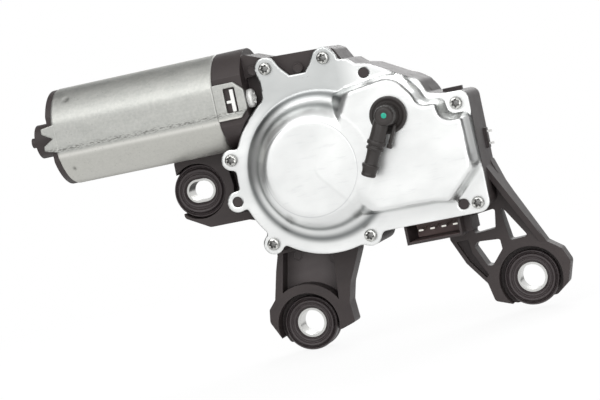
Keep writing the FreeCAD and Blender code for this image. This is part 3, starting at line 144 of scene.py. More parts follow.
class Finish:
    """One material, made with one Principled shader."""

    made = {}  # every finish's material, by the name that the script gives it

    def __init__(self, name, metallic=0.0):
        self.material = self.made[name] = bpy.data.materials.new(name)
        self.material.use_nodes = True
        self.nodes = self.material.node_tree.nodes
        self.shader = self.nodes["Principled BSDF"]
        self.shader.inputs["Metallic"].default_value = metallic
        self.place = self.node("ShaderNodeTexCoord", take="Object")

    def feed(self, socket, item):
        """Give a socket a value of its own, or a link."""
        if isinstance(item, Value):
            self.material.node_tree.links.new(item.socket, socket)
        elif isinstance(item, tuple) and socket.type == "RGBA":
            socket.default_value = (*item, 1.0)
        else:
            socket.default_value = item

    def node(self, kind, settings=None, inputs=None, take=0):
        """Add a node, and return the output that `take` names."""
        added = self.nodes.new(kind)
        for name, setting in (settings or {}).items():
            setattr(added, name, setting)
        for name, item in (inputs or {}).items():
            self.feed(added.inputs[name], item)
        return Value(self, added.outputs[take])

    def vector(self, operation, inputs, take=0):
        """A node that works on vectors."""
        return self.node("ShaderNodeVectorMath", {"operation": operation}, inputs, take)

    def set(self, **inputs):
        """Feed the shader: base_color becomes Base Color."""
        for name, item in inputs.items():
            self.feed(self.shader.inputs[name.replace("_", " ").title()], item)

    def noise(self, size_mm, detail=3.0, stretch=(1.0, 1.0, 1.0), rough=0.5):
        """Cloudy noise about 0.5, with blotches about this large, longer along some axes."""
        grown = self.vector("MULTIPLY", {0: self.place, 1: tuple(1.0 / s for s in stretch)})
        return self.node("ShaderNodeTexNoise", None, {
            "Vector": grown, "Scale": 1.0 / (size_mm * MM), "Detail": detail,
            "Roughness": rough}, "Fac")

    def speckle(self, size_mm, above, sharp=12.0):
        """1 in small separate spots and 0 between them."""
        return ((self.noise(size_mm, 2.0) - above) * sharp).clipped()

    def mix(self, share, first, second):
        """A colour between two colours."""
        return self.node("ShaderNodeMix", {"data_type": "RGBA"},
                         {0: share, 6: first, 7: second}, 2)

    def axes(self):
        """The place on the surface, in millimetres along X, Y and Z."""
        grown = self.vector("SCALE", {0: self.place, "Scale": 1.0 / MM})
        return [self.node("ShaderNodeSeparateXYZ", None, {0: grown}, k) for k in range(3)]

    def bevelled(self, edge_mm):
        """The normal, with the edges rounded off by this radius."""
        return self.node("ShaderNodeBevel", {"samples": BEVEL_SAMPLES}, {"Radius": edge_mm * MM})

    def relief(self, height, depth_mm, edge_mm=0.0):
        """A bump of this depth, on edges that are rounded off where edge_mm is given."""
        inputs = {"Height": height, "Distance": depth_mm * MM, "Strength": 1.0}
        if edge_mm:
            inputs["Normal"] = self.bevelled(edge_mm)
        self.set(normal=self.node("ShaderNodeBump", None, inputs))


def bell(distance, width):
    """1 where the distance is 0, falling off as a bell curve of this width."""
    return (-1.0 * (distance / width) ** 2.0).do("EXPONENT")


def ramp(value, start, run):
    """0 up to the start, and 1 from a run beyond it. A negative run goes the other way."""
    return ((value - start) / run).clipped()


def contrast(noise, gain, middle=0.5):
    """A noise about 0.5 with more contrast, brought to another middle."""
    return ((noise - 0.5) * gain + middle).clipped()


print("formulas ready")

# %% [markdown]
# ## Plain finishes
# Most parts have a plain stock finish: cloudy colour, roughness that drifts with it, and a fine
# grain in the surface. One function makes them all, from two colours, the size of the clouds and
# of the grain, and how rough the surface is. Pieces name their finish. It is looked up in the
# script's own list, because the solids bring materials of the same names with them.

# %% Stock finishes

def stock(name, dark, light, rough, cloud=6.0, spread=0.12, metallic=0.0, grain=0.35,
          depth=0.012, edge=0.0, stretch=(1.0, 1.0, 1.0)):
    """Colour and roughness drift with a cloudy noise, and a fine noise gives the grain."""
    made = Finish(name, metallic)
    clouds = made.noise(cloud, 4.0, stretch)
    fine = made.noise(grain, 2.0, stretch)
    made.set(base_color=made.mix(clouds, dark, light),
             roughness=rough + spread * (clouds - 0.5) + 0.5 * spread * (fine - 0.5))
    made.relief(fine, depth, edge)


STOCK = {  # dark, light, rough, cloud, spread, metallic, grain, depth, edge, stretch
    "bright_steel": ((0.5, 0.5, 0.49), (0.66, 0.66, 0.64), 0.3, 6, 0.12, 1, 0.35, 0.004, 0.15),
    "core_steel": ((0.1, 0.11, 0.12), (0.2, 0.21, 0.22), 0.45, 3, 0.2, 1, 0.12, 0.02, 0,
                   (0.12, 1, 1)),
    "bright_screw": ((0.7, 0.7, 0.68), (0.95, 0.95, 0.93), 0.34, 1.5, 0.16, 0.2, 0.25, 0.01),
    "copper_wire": ((0.42, 0.15, 0.06), (0.68, 0.3, 0.13), 0.28, 2, 0.2, 1, 0.35, 0.1, 0,
                    (6, 1, 1)),
    "brass_strip": ((0.62, 0.47, 0.2), (0.8, 0.66, 0.36), 0.3, 2.5, 0.15, 1, 0.2, 0.004),
    "tinned_strip": ((0.66, 0.65, 0.6), (0.86, 0.84, 0.78), 0.26, 2, 0.12, 1, 0.2, 0.004),
    "oiled_bronze": ((0.28, 0.18, 0.09), (0.45, 0.3, 0.16), 0.42, 1.2, 0.2, 1, 0.15, 0.02),
    "ferrite": ((0.045, 0.045, 0.05), (0.09, 0.09, 0.095), 0.6, 2, 0.2, 0, 0.2, 0.03),
    "carbon": ((0.03, 0.03, 0.03), (0.07, 0.065, 0.06), 0.5, 0.8, 0.3, 0, 0.15, 0.02),
    "natural_acetal": ((0.72, 0.69, 0.6), (0.84, 0.82, 0.75), 0.38, 5, 0.1, 0, 0.3, 0.006, 0.12),
    "black_part": ((0.018, 0.018, 0.018), (0.035, 0.034, 0.033), 0.42, 3, 0.15, 0, 0.2, 0.012,
                   0.15),
    "white_part": ((0.66, 0.66, 0.64), (0.8, 0.8, 0.78), 0.4, 2, 0.15, 0, 0.25, 0.008, 0.1),
    "green_paint": ((0, 0.22, 0.15), (0.01, 0.42, 0.28), 0.25, 0.8, 0.1, 0, 0.3, 0.02),
}
for name, row in STOCK.items():
    stock(name, *row)
DRIVE_SHADE = -37.55  # Y in mm, behind which the drives' floors and the heads' feet get painted shade


def screw_finish():
    """Zinc, with painted shade in the drive's floor and round the foot of the head, and dirt in
    small patches.
    """
    made = Finish("zinc_screw", 1.0)
    _, y, _ = made.axes()
    clouds, fine = made.noise(0.8, 4.0), made.noise(0.25, 2.0)
    # painted shade: the drive's floor and the foot of the head are painted dark
    painted_drive_shade = ramp(y, DRIVE_SHADE, 1 / 3)
    tone = made.mix(contrast(clouds, 3.0, 0.45), (0.30, 0.30, 0.29), (0.78, 0.78, 0.75))
    made.set(base_color=made.mix(painted_drive_shade * 0.92, tone, (0.17, 0.17, 0.166)),
             roughness=0.26 + 0.16 * (clouds - 0.5) + 0.1 * painted_drive_shade)
    made.relief(fine + clouds, 0.03)


screw_finish()
print("stock finishes ready")

# %% [markdown]
# ## The case's plastic
# The case is moulded from glass-filled plastic: dark brown-grey, half matt, with a fine eroded
# grain, slow flow clouds, and edges that catch the light because the mould rounds them. The
# rounding is in the normals, and the same rounded normal also finds the edges, which get paler.
# The floor of the bottom leg's pocket is painted paler, as painted light, and the inside of the
# plug socket is paler too.

# %% Moulded plastic
CASE_DARK, CASE_LIGHT = (0.026, 0.020, 0.020), (0.047, 0.037, 0.036)
# Painted light: a paler colour on the floor of the bottom leg's pocket, with its place and size.
POCKET_LIGHT_COLOUR = (0.16, 0.14, 0.14)
SOCKET_COLOUR = (0.42, 0.31, 0.30)
PLASTIC_SPECULAR = 0.36
POCKET_LIGHT_PLACE, POCKET_LIGHT_SIZE = (-56.0, -7.2, -62.0), (16.0, 0.8, 14.0)  # mm along X, Y and Z
SOCKET_LOW, SOCKET_HIGH = (-5.8, -36.0, -55.2), (16.3, -12.4, -47.8)
SOCKET_EDGE, SOCKET_FADE = 0.25, 1 / 0.3  # mm, at the walls and towards the mouth


def moulded(name, dark, light, rough, edge_mm, edge_gain, pocket_light=0.0):
    """Flow clouds, eroded grain, paler rubbed edges, and painted light on the floor of the leg's
    pocket.
    """
    made = Finish(name)
    made.shader.inputs["Specular IOR Level"].default_value = PLASTIC_SPECULAR
    flow = made.noise(9.0, 5.0, (1.6, 1.0, 0.7))
    grain = made.noise(0.28, 3.0)
    soft = made.bevelled(edge_mm)
    flat = made.node("ShaderNodeNewGeometry", take="Normal")
    along = made.vector("DOT_PRODUCT", {0: soft, 1: flat}, "Value")
    edge = ((1 - along) * 4.0).clipped()
    rubbed = edge * (0.35 + made.noise(2.2, 4.0)) * edge_gain
    # painted light on the floor of the leg's pocket
    pocket = pocket_light
    for place, middle, size in zip(made.axes(), POCKET_LIGHT_PLACE, POCKET_LIGHT_SIZE):
        pocket = bell(place - middle, size) * pocket
    colour = made.mix(flow, dark, light)
    colour = made.mix(pocket * (0.6 + 0.8 * flow), colour, POCKET_LIGHT_COLOUR)
    pale = tuple(0.10 + 1.6 * c for c in light)
    made.set(base_color=made.mix(rubbed.clipped(), colour, pale),
             roughness=rough + 0.18 * (flow - 0.5) + 0.10 * (grain - 0.5) - 0.08 * edge)
    made.relief(grain + 0.6 * made.noise(1.6, 2.0), 0.03, edge_mm)


moulded("case_plastic", CASE_DARK, CASE_LIGHT, rough=0.50, edge_mm=0.45, edge_gain=0.16,
        pocket_light=0.8)
moulded("elbow_plastic", (0.020, 0.017, 0.016), (0.036, 0.031, 0.029), rough=0.40,
        edge_mm=0.25, edge_gain=0.20)


def socket_finish():
    """The case's plastic, browner and paler inside the plug socket."""
    made = Finish("socket_plastic")
    made.shader.inputs["Specular IOR Level"].default_value = PLASTIC_SPECULAR
    flow, grain = made.noise(5.0, 4.0), made.noise(0.28, 3.0)
    inside = 1.0
    for place, low, high, fade in zip(made.axes(), SOCKET_LOW, SOCKET_HIGH,
                                      (SOCKET_EDGE, SOCKET_FADE, SOCKET_EDGE)):
        inside = ramp(place, low, fade) * ramp(place, high, -SOCKET_EDGE) * inside
    tone = made.mix(flow, CASE_DARK, CASE_LIGHT)
    made.set(base_color=made.mix(inside, tone, SOCKET_COLOUR),
             roughness=0.48 + 0.15 * (flow - 0.5) + 0.1 * (grain - 0.5))
    made.relief(grain, 0.03, 0.3)


socket_finish()
print("moulded plastic ready")

# %% [markdown]
# ## Zinc on sheet steel
# The cover and the can are zinc-plated sheet. The cover is satin and almost white where it faces
# the light, with faint rub marks and the thin witness ring that the press leaves on its raised
# face, painted shade in its grooves and on the steep walls of its plateau, and a darker grey over
# its upper left. The can is greyer and a little yellow, cloudy, and its long crease is scuffed by
# the die. Below the crease it has painted light, and just under the crease a painted highlight.

# %% Sheet finishes
MOTOR_DEPTH, MOTOR_HEIGHT = 20.0, 19.2
RING_PLACE, RING_RADIUS, RING_WIDTH = (-37.8, -15.7), 20.3, 0.22
# Painted shade in the round form's grooves: their centre, each groove's radius, width and
# darkness, and the depth behind which they lie.
GROOVE_PLACE = (-36.4, -15.6)
GROOVES = [(26.4, 1.0, 0.72), (30.9, 1.7, 0.95)]  # radius, width, how dark
GROOVE_START = -47.0  # Y in mm: the grooves lie behind it
SHADED_WAY = (-0.966, 0.259)  # towards the shaded side, where the painted groove shade is weaker
# Painted shade on the plateau's steep walls: its depth, its width, and where it starts on the
# left.
WALL_SHADE_PLACE, WALL_SHADE_WIDTH, WALL_SHADE_LEFT = -41.5, 3.4, -22.0
CREASE_LEVEL, CREASE_PLACE = 12.4, -40.2
STAKES = [(-143.0, 35.1), (-145.2, 4.8)]


def cover_finish():
    """Satin zinc with rub marks, a witness ring, painted shade in the grooves and on the walls,
    and a darker grey over the upper left.
    """
    made = Finish("satin_zinc", 1.0)
    x, y, z = made.axes()
    clouds = made.noise(14.0, 4.0, (1.5, 1.0, 1.0))
    fine = made.noise(0.5, 3.0)
    rubs = ((made.noise(1.4, 3.0, (5.0, 1.0, 0.8)) - 0.60) * 6.0).clipped()
    way_x, way_z = x - RING_PLACE[0], z - RING_PLACE[1]
    ring = bell((way_x * way_x + way_z * way_z).do("SQRT") - RING_RADIUS, RING_WIDTH)
    way_x, way_z = x - GROOVE_PLACE[0], z - GROOVE_PLACE[1]
    reach = (way_x * way_x + way_z * way_z).do("SQRT")
    shaded = ramp((SHADED_WAY[0] * way_x + SHADED_WAY[1] * way_z) / reach, 0.9, 0.1)
    # painted shade in the grooves of the round form, weaker towards the shaded side
    groove_shade = sum(dark * bell(reach - radius, width) for radius, width, dark in GROOVES)
    groove_shade = (groove_shade * ramp(y, GROOVE_START, 1.0) * (1 - 0.45 * shaded)).clipped()
    patches = contrast(clouds, 1.8, 0.55)
    # a darker grey over the upper left of the cover
    upper_left_grey = ramp(z, 9.0, 7.0) * ramp(x, -13.0, -8.0) * (0.55 + 0.5 * patches)
    # painted shade on the plateau's steep walls, by depth
    wall = bell(y - WALL_SHADE_PLACE, WALL_SHADE_WIDTH) * ramp(x, WALL_SHADE_LEFT, 5.0)
    tone = made.mix(patches, (0.73, 0.74, 0.735), (0.89, 0.90, 0.89))
    tone = made.mix(upper_left_grey.clipped(), tone, (0.49, 0.505, 0.50))
    tone = made.mix(rubs * 0.25, tone, (0.62, 0.63, 0.64))
    tone = made.mix(groove_shade, tone, (0.21, 0.22, 0.22))
    # the painted wall shade darkens the colour here
    tone = made.mix(wall * 0.42, tone, (0.26, 0.27, 0.27))
    made.set(base_color=made.mix(ring * 0.45, tone, (0.45, 0.46, 0.47)),
             roughness=0.36 + 0.10 * (clouds - 0.5) + 0.08 * (fine - 0.5) - 0.08 * rubs)
    made.relief(0.7 * fine + 0.8 * made.noise(3.0, 2.0) - 2.5 * ring, 0.022)


def can_finish():
    """Cloudy grey zinc, with painted light below the crease and a painted highlight just under it,
    scuffs on the crease, pits and two stake marks.
    """
    made = Finish("drawn_zinc", 1.0)
    x, y, z = made.axes()
    clouds = made.noise(5.0, 5.0, (2.0, 1.0, 1.0), 0.6)
    fine = made.noise(0.45, 3.0)
    drawn = made.noise(0.8, 3.0, (14.0, 1.0, 1.0))
    near = bell(z - CREASE_LEVEL - 1.6, 1.0) * bell(y - CREASE_PLACE, 2.0)
    scuff = near * ((made.noise(0.5, 4.0, (3.0, 1.0, 0.7)) - 0.45) * 6.0).clipped()
    pits = made.speckle(0.8, 0.66)
    stakes = sum(bell(x - stake_x, 0.8) * bell(z - stake_z, 0.8) for stake_x, stake_z in STAKES)
    stakes = stakes * (-y - MOTOR_DEPTH).clipped()
    tone = made.mix(contrast(clouds, 1.7), (0.35, 0.355, 0.34), (0.48, 0.485, 0.465))
    tone = made.mix(contrast(made.noise(1.3, 5.0), 3.0, 0.4) * 0.25, tone, (0.68, 0.68, 0.64))
    tone = made.mix(drawn * 0.3, tone, (0.58, 0.58, 0.54))
    # painted light: paler below the crease
    tone = made.mix(ramp(z, CREASE_LEVEL + 0.4, -1.2) * 0.45, tone, (0.67, 0.66, 0.61))
    # painted highlight: a bright band just under the crease
    tone = made.mix(bell(z - CREASE_LEVEL + 1.2, 0.9) * 0.5, tone, (0.90, 0.89, 0.85))
    tone = made.mix((scuff * 0.8 + pits * 0.3 + stakes * 0.7).clipped(), tone, (0.14, 0.14, 0.13))
    made.set(base_color=tone,
             roughness=0.50 + 0.14 * (clouds - 0.5) + 0.10 * (fine - 0.5) + 0.1 * scuff)
    made.relief(0.6 * fine + 0.5 * drawn + clouds - 1.2 * scuff, 0.03)


cover_finish()
can_finish()
print("sheet finishes ready")

# %% [markdown]
# ## Rubber and board
# The bushes are matt black rubber with a bloom of dust. The board inside has copper tracks under
# green lacquer.

# %% Rubber and board
TRACK_TURNS = 1.6  # per mm, in radians


def rubber_finish():
    """Black rubber with a bloom of dust."""
    made = Finish("bush_rubber")
    clouds = made.noise(4.0, 4.0)
    dust = made.speckle(0.7, 0.58, 5.0) * 0.5 + 0.5 * clouds
    made.set(base_color=made.mix(dust, (0.028, 0.021, 0.022), (0.075, 0.060, 0.061)),
             roughness=0.50 + 0.22 * (dust - 0.5))
    made.relief(made.noise(0.3, 3.0) + 0.5 * made.noise(1.2, 2.0), 0.03, 0.2)


def board_finish():
    """Green lacquer over a pattern of tracks."""
    made = Finish("circuit_board")
    x, _, z = made.axes()
    waves = (x * TRACK_TURNS).do("SINE") * (z * TRACK_TURNS).do("SINE")
    tracks = ((waves - 0.25) * 8.0).clipped()
    weave = made.noise(0.4, 2.0)
    made.set(base_color=made.mix(tracks, (0.01, 0.10, 0.045), (0.03, 0.22, 0.10)),
             roughness=0.30 + 0.12 * (weave - 0.5))
    made.relief(tracks + 0.3 * weave, 0.03)


rubber_finish()
board_finish()
print("rubber and board ready")

# %% [markdown]
# ## Finishes for the solids that stay
# Solids whose shape is right keep it, and get a finish by name.

# %% Give the solids their finishes
FINISHES = {
    "case_plastic": "gear_case can_end_cap", "socket_plastic": "connector_shell",
    "satin_zinc": "cover_plate", "drawn_zinc": "motor_can", "zinc_screw": "cover_screws",
    "bright_screw": "can_screw side_terminals",
    "bush_rubber": "cover_gasket bush_rubber_left bush_rubber_bottom bush_rubber_right "
                   "shaft_seal elbow_grommet",
    "bright_steel": "armature_shaft output_shaft pinion sector_link crank_pin rocker_plate "
                    "rocker_pin link_spacer wheel_axle thrust_washer rocker_circlip neck_washer "
                    "neck_circlip brush_springs bush_sleeve_left bush_sleeve_bottom "
                    "bush_sleeve_right",
    "core_steel": "lamination_stack", "copper_wire": "windings suppression_chokes",
    "brass_strip": "commutator brush_holders contact_ring park_contacts washer_tube",
    "tinned_strip": "connector_blades",
    "oiled_bronze": "rear_bearing middle_bearing front_bearing crank_bush inner_shaft_bush "
                    "outer_shaft_bush",
    "ferrite": "magnets", "carbon": "brushes", "natural_acetal": "worm_wheel",
    "black_part": "thrust_pad brush_card relay capacitor", "white_part": "latch_block",
    "elbow_plastic": "washer_elbow", "circuit_board": "circuit_board",
}
for finish, names in FINISHES.items():
    for name in names.split():
        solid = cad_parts[name]
        solid.data.materials.clear()
        solid.data.materials.append(Finish.made[finish])
print(sum(len(names.split()) for names in FINISHES.values()), "solids have a finish")

# %% [markdown]
# ## Surfaces from formulas
# Each new piece is one or more grids of points, worked out as whole arrays. A grid may close on
# itself in either direction. Points that coincide at poles and seams are merged, and normals are
# turned outwards. Places are in millimetres: x along the motor, depth in front of the mounting
# plane, z up.


# %% From grids to pieces
def grid_faces(rows, columns, close_rows, close_columns):
    """The corners of each quad. Point (i, j) is number i * columns + j."""
    i = np.arange(rows if close_rows else rows - 1)
    j = np.arange(columns if close_columns else columns - 1)
    i, j = (part.ravel() for part in np.meshgrid(i, j, indexing="ij"))
    after_i, after_j = (i + 1) % rows, (j + 1) % columns
    return np.stack([i * columns + j, after_i * columns + j, after_i * columns + after_j,
                     i * columns + after_j], axis=1)


def spots(x, depth, z):
    """Points at these places, as one array with the coordinates last."""
    return np.stack(np.broadcast_arrays(x, -np.asarray(depth), z), axis=-1).astype(float)


def piece(name, points, faces, finish, body="housing", slot=None, replaces=(), crease=38.0,
          closed=True):
    """One object from points in millimetres, riding on a body of the frame."""
    mesh = bpy.data.meshes.new(name)
    mesh.from_pydata((points * MM).tolist(), [], faces.tolist())
    work = bmesh.new()
    work.from_mesh(mesh)
    bmesh.ops.remove_doubles(work, verts=work.verts, dist=2e-6)
    bmesh.ops.dissolve_degenerate(work, edges=work.edges, dist=1e-6)
    if closed:
        bmesh.ops.recalc_face_normals(work, faces=work.faces)
    work.to_mesh(mesh)
    work.free()
    mesh.shade_smooth()
    mesh.set_sharp_from_angle(angle=math.radians(crease))
    mesh.materials.append(Finish.made[finish])
    thing = placed(name, mesh)
    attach(thing, body)
    if replaces:
        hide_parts(*replaces)
    print(name, len(mesh.polygons), "faces")
    return thing


def thickened(thing, thickness):
    """A sheet's modelled face gets its thickness behind it."""
    sheet = thing.modifiers.new("sheet", "SOLIDIFY")
    sheet.thickness = thickness * MM
    sheet.offset = -1.0


def grids(name, parts, finish, **more):
    """A piece from several grids, each (points, rows close, columns close)."""
    points, faces, first = [], [], 0
    for points_of, close_rows, close_columns in parts:
        rows, columns = points_of.shape[:2]
        faces.append(first + grid_faces(rows, columns, close_rows, close_columns))
        points.append(points_of.reshape(-1, 3))
        first += rows * columns
    return piece(name, np.concatenate(points), np.concatenate(faces), finish, **more)


def soften(profile, rounds=2, closed=False):
    """Cut every corner at a quarter of its two sides, again and again."""
    line = np.asarray(profile, float)
    for _ in range(rounds):
        after = np.roll(line, -1, axis=0)
        cuts = np.stack([0.75 * line + 0.25 * after, 0.25 * line + 0.75 * after], axis=1)
        if closed:
            line = cuts.reshape(-1, line.shape[1])
        else:
            line = np.concatenate([line[:1], cuts[:-1].reshape(-1, line.shape[1]), line[-1:]])
    return line


def angles(count):
    """This many angles, evenly round a circle, as one row."""
    return np.arange(count)[None, :] * (2 * math.pi / count)


def turned(profile, x, z, count=72):
    """A profile of (depth, radius) carried round an axis along the depth:
    x + radius cos a, depth, z + radius sin a."""
    line = np.asarray(profile, float)
    a = angles(count)
    depth, radius = line[:, :1], line[:, 1:2]
    return spots(x + radius * np.cos(a), depth, z + radius * np.sin(a)), False, True


print("helpers ready")

# %% [markdown]
# ## The pressed cover
# The cover is one sheet, pressed in steps. It is drawn here as a height over the plane of its
# flange: the height of the round form depends on the distance from the wheel's centre, the height
# of the plateau on the distance inside its outline, and a smooth maximum joins them with a
# pressed fillet. The outline is where the distance to circles and rounded polygons is zero.


# %% Distances in the cover's plane
TINY = 0.01  # mm, over which a distance's slope is measured
EDGE_REACH = 0.3  # of a step, by which a grid's points may lie outside the outline


def rounded(corners, steps=6):
    """A polygon as a closed line, each corner (x, z, r) rounded with radius r by an arc."""
    line = []
    for i, (x, z, radius) in enumerate(corners):
        here = np.array([x, z])
        back = np.array(corners[i - 1][:2]) - here
        ahead = np.array(corners[(i + 1) % len(corners)][:2]) - here
        back, ahead = back / np.linalg.norm(back), ahead / np.linalg.norm(ahead)
        half = math.acos(np.clip(back @ ahead, -1, 1)) / 2
        run = radius / math.tan(half)
        middle = here + (back + ahead) / np.linalg.norm(back + ahead) * radius / math.sin(half)
        start, end = here + back * run - middle, here + ahead * run - middle
        for share in np.linspace(0, 1, steps if radius else 1):
            way = start * (1 - share) + end * share
            size = np.linalg.norm(way)
            line.append(middle + (way / size * radius if size and radius else 0 * way))
    return np.array(line)


def polygon_distance(x, z, line):
    """Distance to a closed line, negative inside: the least distance to any side, with the sign
    from how often a ray along x crosses the line."""
    best = np.full(x.shape, 1e9)
    inside = np.zeros(x.shape, bool)
    for (ax, az), (bx, bz) in zip(line, np.roll(line, -1, axis=0)):
        dx, dz = bx - ax, bz - az
        share = np.clip(((x - ax) * dx + (z - az) * dz) / max(dx * dx + dz * dz, 1e-12), 0, 1)
        best = np.minimum(best, np.hypot(x - ax - share * dx, z - az - share * dz))
        if az != bz:
            inside ^= ((az > z) != (bz > z)) & (x < dx * (z - az) / dz + ax)
    return np.where(inside, -best, best)


def circle_distance(x, z, centre, radius):
    """Distance to a circle, negative inside."""
    return np.hypot(x - centre[0], z - centre[1]) - radius


def smooth_least(a, b, blend):
    """The smaller of two values, with a fillet where they are about equal."""
    share = np.clip(0.5 + 0.5 * (b - a) / blend, 0, 1)
    return b * (1 - share) + a * share - blend * share * (1 - share)


def moved(distance, x, z, target=0.0, least=0.25):
    """Points moved along the distance's slope, to where the distance is the target."""
    here = distance(x, z)
    slope_x = (distance(x + TINY, z) - here) / TINY
    slope_z = (distance(x, z + TINY) - here) / TINY
    square = np.maximum(slope_x * slope_x + slope_z * slope_z, least)
    return x + (target - here) * slope_x / square, z + (target - here) * slope_z / square


def trimmed(distance, low, high, step):
    """Points and quads of a flat grid inside an outline, with its edge moved onto the outline
    along the distance's slope."""
    columns, rows = (np.arange(a, b + step, step) for a, b in zip(low, high))
    x, z = np.meshgrid(columns, rows, indexing="ij")
    faces = grid_faces(*x.shape, False, False)
    flat = distance(x, z).ravel()
    faces = faces[(flat[faces] < EDGE_REACH * step).all(axis=1)]
    uses = np.bincount(faces.ravel(), minlength=flat.size)
    edge = (uses > 0) & (uses < 4)
    px, pz = x.ravel().copy(), z.ravel().copy()
    for _ in range(3):
        px[edge], pz[edge] = moved(distance, px[edge], pz[edge])
    used = np.flatnonzero(uses)
    number = np.full(flat.size, -1)
    number[used] = np.arange(used.size)
    return px[used], pz[used], number[faces]


print("distances ready")

# %% [markdown]
# ### Its outline and its heights
# The flange carries the screws and a pin on ears, and has holes for the pins.

# %% The pressed cover
COVER_LOW, COVER_HIGH, COVER_STEP = (-81.0, -54.0), (33.0, 36.0), 0.5
WHEEL = (-36.0, -15.7)
FLANGE_RADIUS, EAR_RADIUS, PIN_HOLE = 37.5, 4.5, 2.3
STRAIGHT_BLEND, EAR_BLEND = 2.0, 2.4
FLANGE, SHEET, PLATEAU_RISE = 36.0, 1.0, 12.5
COVER_BOTTOM = -47.9
PINS = [(-9.6, 19.4), (21.0, -43.2), (-75.5, -23.7)]
SCREWS = [(-51.2, 29.7), (-25.4, 29.1), (-74.3, -5.6), (-63.5, -44.4), (-20.9, -48.6),
          (26.6, -1.0), (27.2, -43.6)]
EARS = SCREWS[:5] + PINS[2:]  # outside the round and the straight part
COVER_CORNERS = [
    (-55.0, 8.0, 0), (-54.7, 33.4, 3.0), (-48.9, 33.2, 2.0), (-41.4, 24.8, 0.8),
    (-34.6, 24.6, 0.8), (-28.6, 31.6, 1.0), (-20.4, 29.5, 1.0), (-19.6, 27.2, 0.8),
    (-15.6, 26.7, 1.0), (-12.4, 23.9, 1.0), (-7.0, 22.7, 3.0), (12.9, 11.6, 4.0),
    (15.4, 5.5, 2.0), (22.0, 4.0, 2.0), (32.0, 3.8, 3.6), (32.0, COVER_BOTTOM, 4.6),
    (-36.0, COVER_BOTTOM, 0)]
CREASE_CORNERS = [
    (-45.0, 10.5, 0), (5.0, 16.9, 11.0), (12.1, 7.2, 5.0), (14.1, 2.2, 3.4), (21.2, 1.9, 2.2),
    (22.1, -5.8, 4.0), (30.9, -5.9, 2.4), (31.2, -28.6, 7.0), (18.0, -41.5, 3.0),
    (11.0, -40.1, 9.0), (-45.0, -39.1, 0)]
RAMPS = [((-31.5, 3.0), (-25.3, 14.2)), ((-23.5, -40.8), (-31.5, -31.3))]
RAMP_LEAD, RAMP_RUN, RAMP_TOP, RAMP_BLEND = 0.5, 14.0, 20.5, 8.0
FILLET, FILLET_RISE, FILLET_LEAST = 6.5, 5.0, 0.001
DOME_STEPS = [(34.0, 0.0), (32.3, 0.0), (30.6, 1.3), (28.1, 2.7), (27.2, 3.4), (24.6, 8.4),
              (22.6, 11.2), (20.8, 12.3), (19.0, 12.5), (0.0, 12.5)]
WALL_STEPS = [(-2.0, 0.0), (-0.8, 0.1), (0.0, 1.1), (0.9, 10.8), (1.4, 11.9), (2.3, 12.5),
              (60.0, 12.5)]
DOME_BLUR, WALL_BLUR = 0.35, 0.28
SAMPLE, MEAN_REACH = 0.05, 60  # mm between samples, samples on each side of the moving mean
WALL_BAND, WALL_RUN = (-1.2, 2.6), 0.45  # where lines run along the wall, and their distance
cover_line, crease_line = rounded(COVER_CORNERS), rounded(CREASE_CORNERS, 12)


def cover_edge(x, z):
    """Distance to the flange's outline: round part, straight part and ears, less the pin holes."""
    edge = smooth_least(circle_distance(x, z, WHEEL, FLANGE_RADIUS),
                        polygon_distance(x, z, cover_line), STRAIGHT_BLEND)
    for centre in EARS:
        edge = smooth_least(edge, circle_distance(x, z, centre, EAR_RADIUS), EAR_BLEND)
    for centre in PINS:
        edge = np.maximum(edge, -circle_distance(x, z, centre, PIN_HOLE))
    return edge


def inside_crease(x, z):
    """Distance inside the plateau's outline."""
    return -polygon_distance(x, z, crease_line)


def stepped(value, steps, blur):
    """Height along a run of straight steps whose corners are rounded off by a moving mean."""
    places = np.arange(-6.0, 66.0, SAMPLE)
    order = sorted(steps)
    heights = np.interp(places, [p for p, _ in order], [h for _, h in order])
    weights = np.exp(-0.5 * (np.arange(-MEAN_REACH, MEAN_REACH + 1) * SAMPLE / blur) ** 2)
    heights = np.pad(heights, MEAN_REACH, mode="edge")
    heights = np.convolve(heights, weights / weights.sum(), "valid")
    return np.interp(value, places, heights)


def cover_height(x, z):
    """Smooth maximum of the round form's and the plateau's height. The plateau has a steep wall
    all round, but for two slow ramps at its left corners. The fillet between the forms fades
    out towards the flange and towards the top."""
    dome = stepped(np.hypot(x - WHEEL[0], z - WHEEL[1]), DOME_STEPS, DOME_BLUR)
    wall = stepped(inside_crease(x, z), WALL_STEPS, WALL_BLUR)
    for (start_x, start_z), (end_x, end_z) in RAMPS:
        run_x, run_z = end_x - start_x, end_z - start_z
        inside = ((x - start_x) * run_z - (z - start_z) * run_x) / math.hypot(run_x, run_z)
        share = np.clip((inside + RAMP_LEAD) / RAMP_RUN, 0, 1)
        wall = smooth_least(wall, RAMP_TOP * share * share * (3 - 2 * share), RAMP_BLEND)
    fillet = FILLET * (1 - np.minimum(dome, wall) / PLATEAU_RISE) * np.maximum(dome, wall)
    return -smooth_least(-dome, -wall, (fillet / FILLET_RISE).clip(FILLET_LEAST, FILLET))


def onto_wall(x, z):
    """Points near the wall move onto lines that run along it, so that the steep wall is even."""
    level = inside_crease(x, z)
    near = (level > WALL_BAND[0]) & (level < WALL_BAND[1]) & (cover_edge(x, z) < -0.2)
    target = np.round(level[near] / WALL_RUN) * WALL_RUN
    px, pz = x[near], z[near]
    for _ in range(2):
        px, pz = moved(inside_crease, px, pz, target, 0.5)
    x[near], z[near] = px, pz
    return x, z


x, z, faces = trimmed(cover_edge, COVER_LOW, COVER_HIGH, COVER_STEP)
x, z = onto_wall(x, z)
front = spots(x, FLANGE + cover_height(x, z), z)
thickened(piece("pressed_cover", front, faces, "satin_zinc", slot="cover_zinc",
                replaces=["cover_plate"], crease=60.0, closed=False), SHEET)

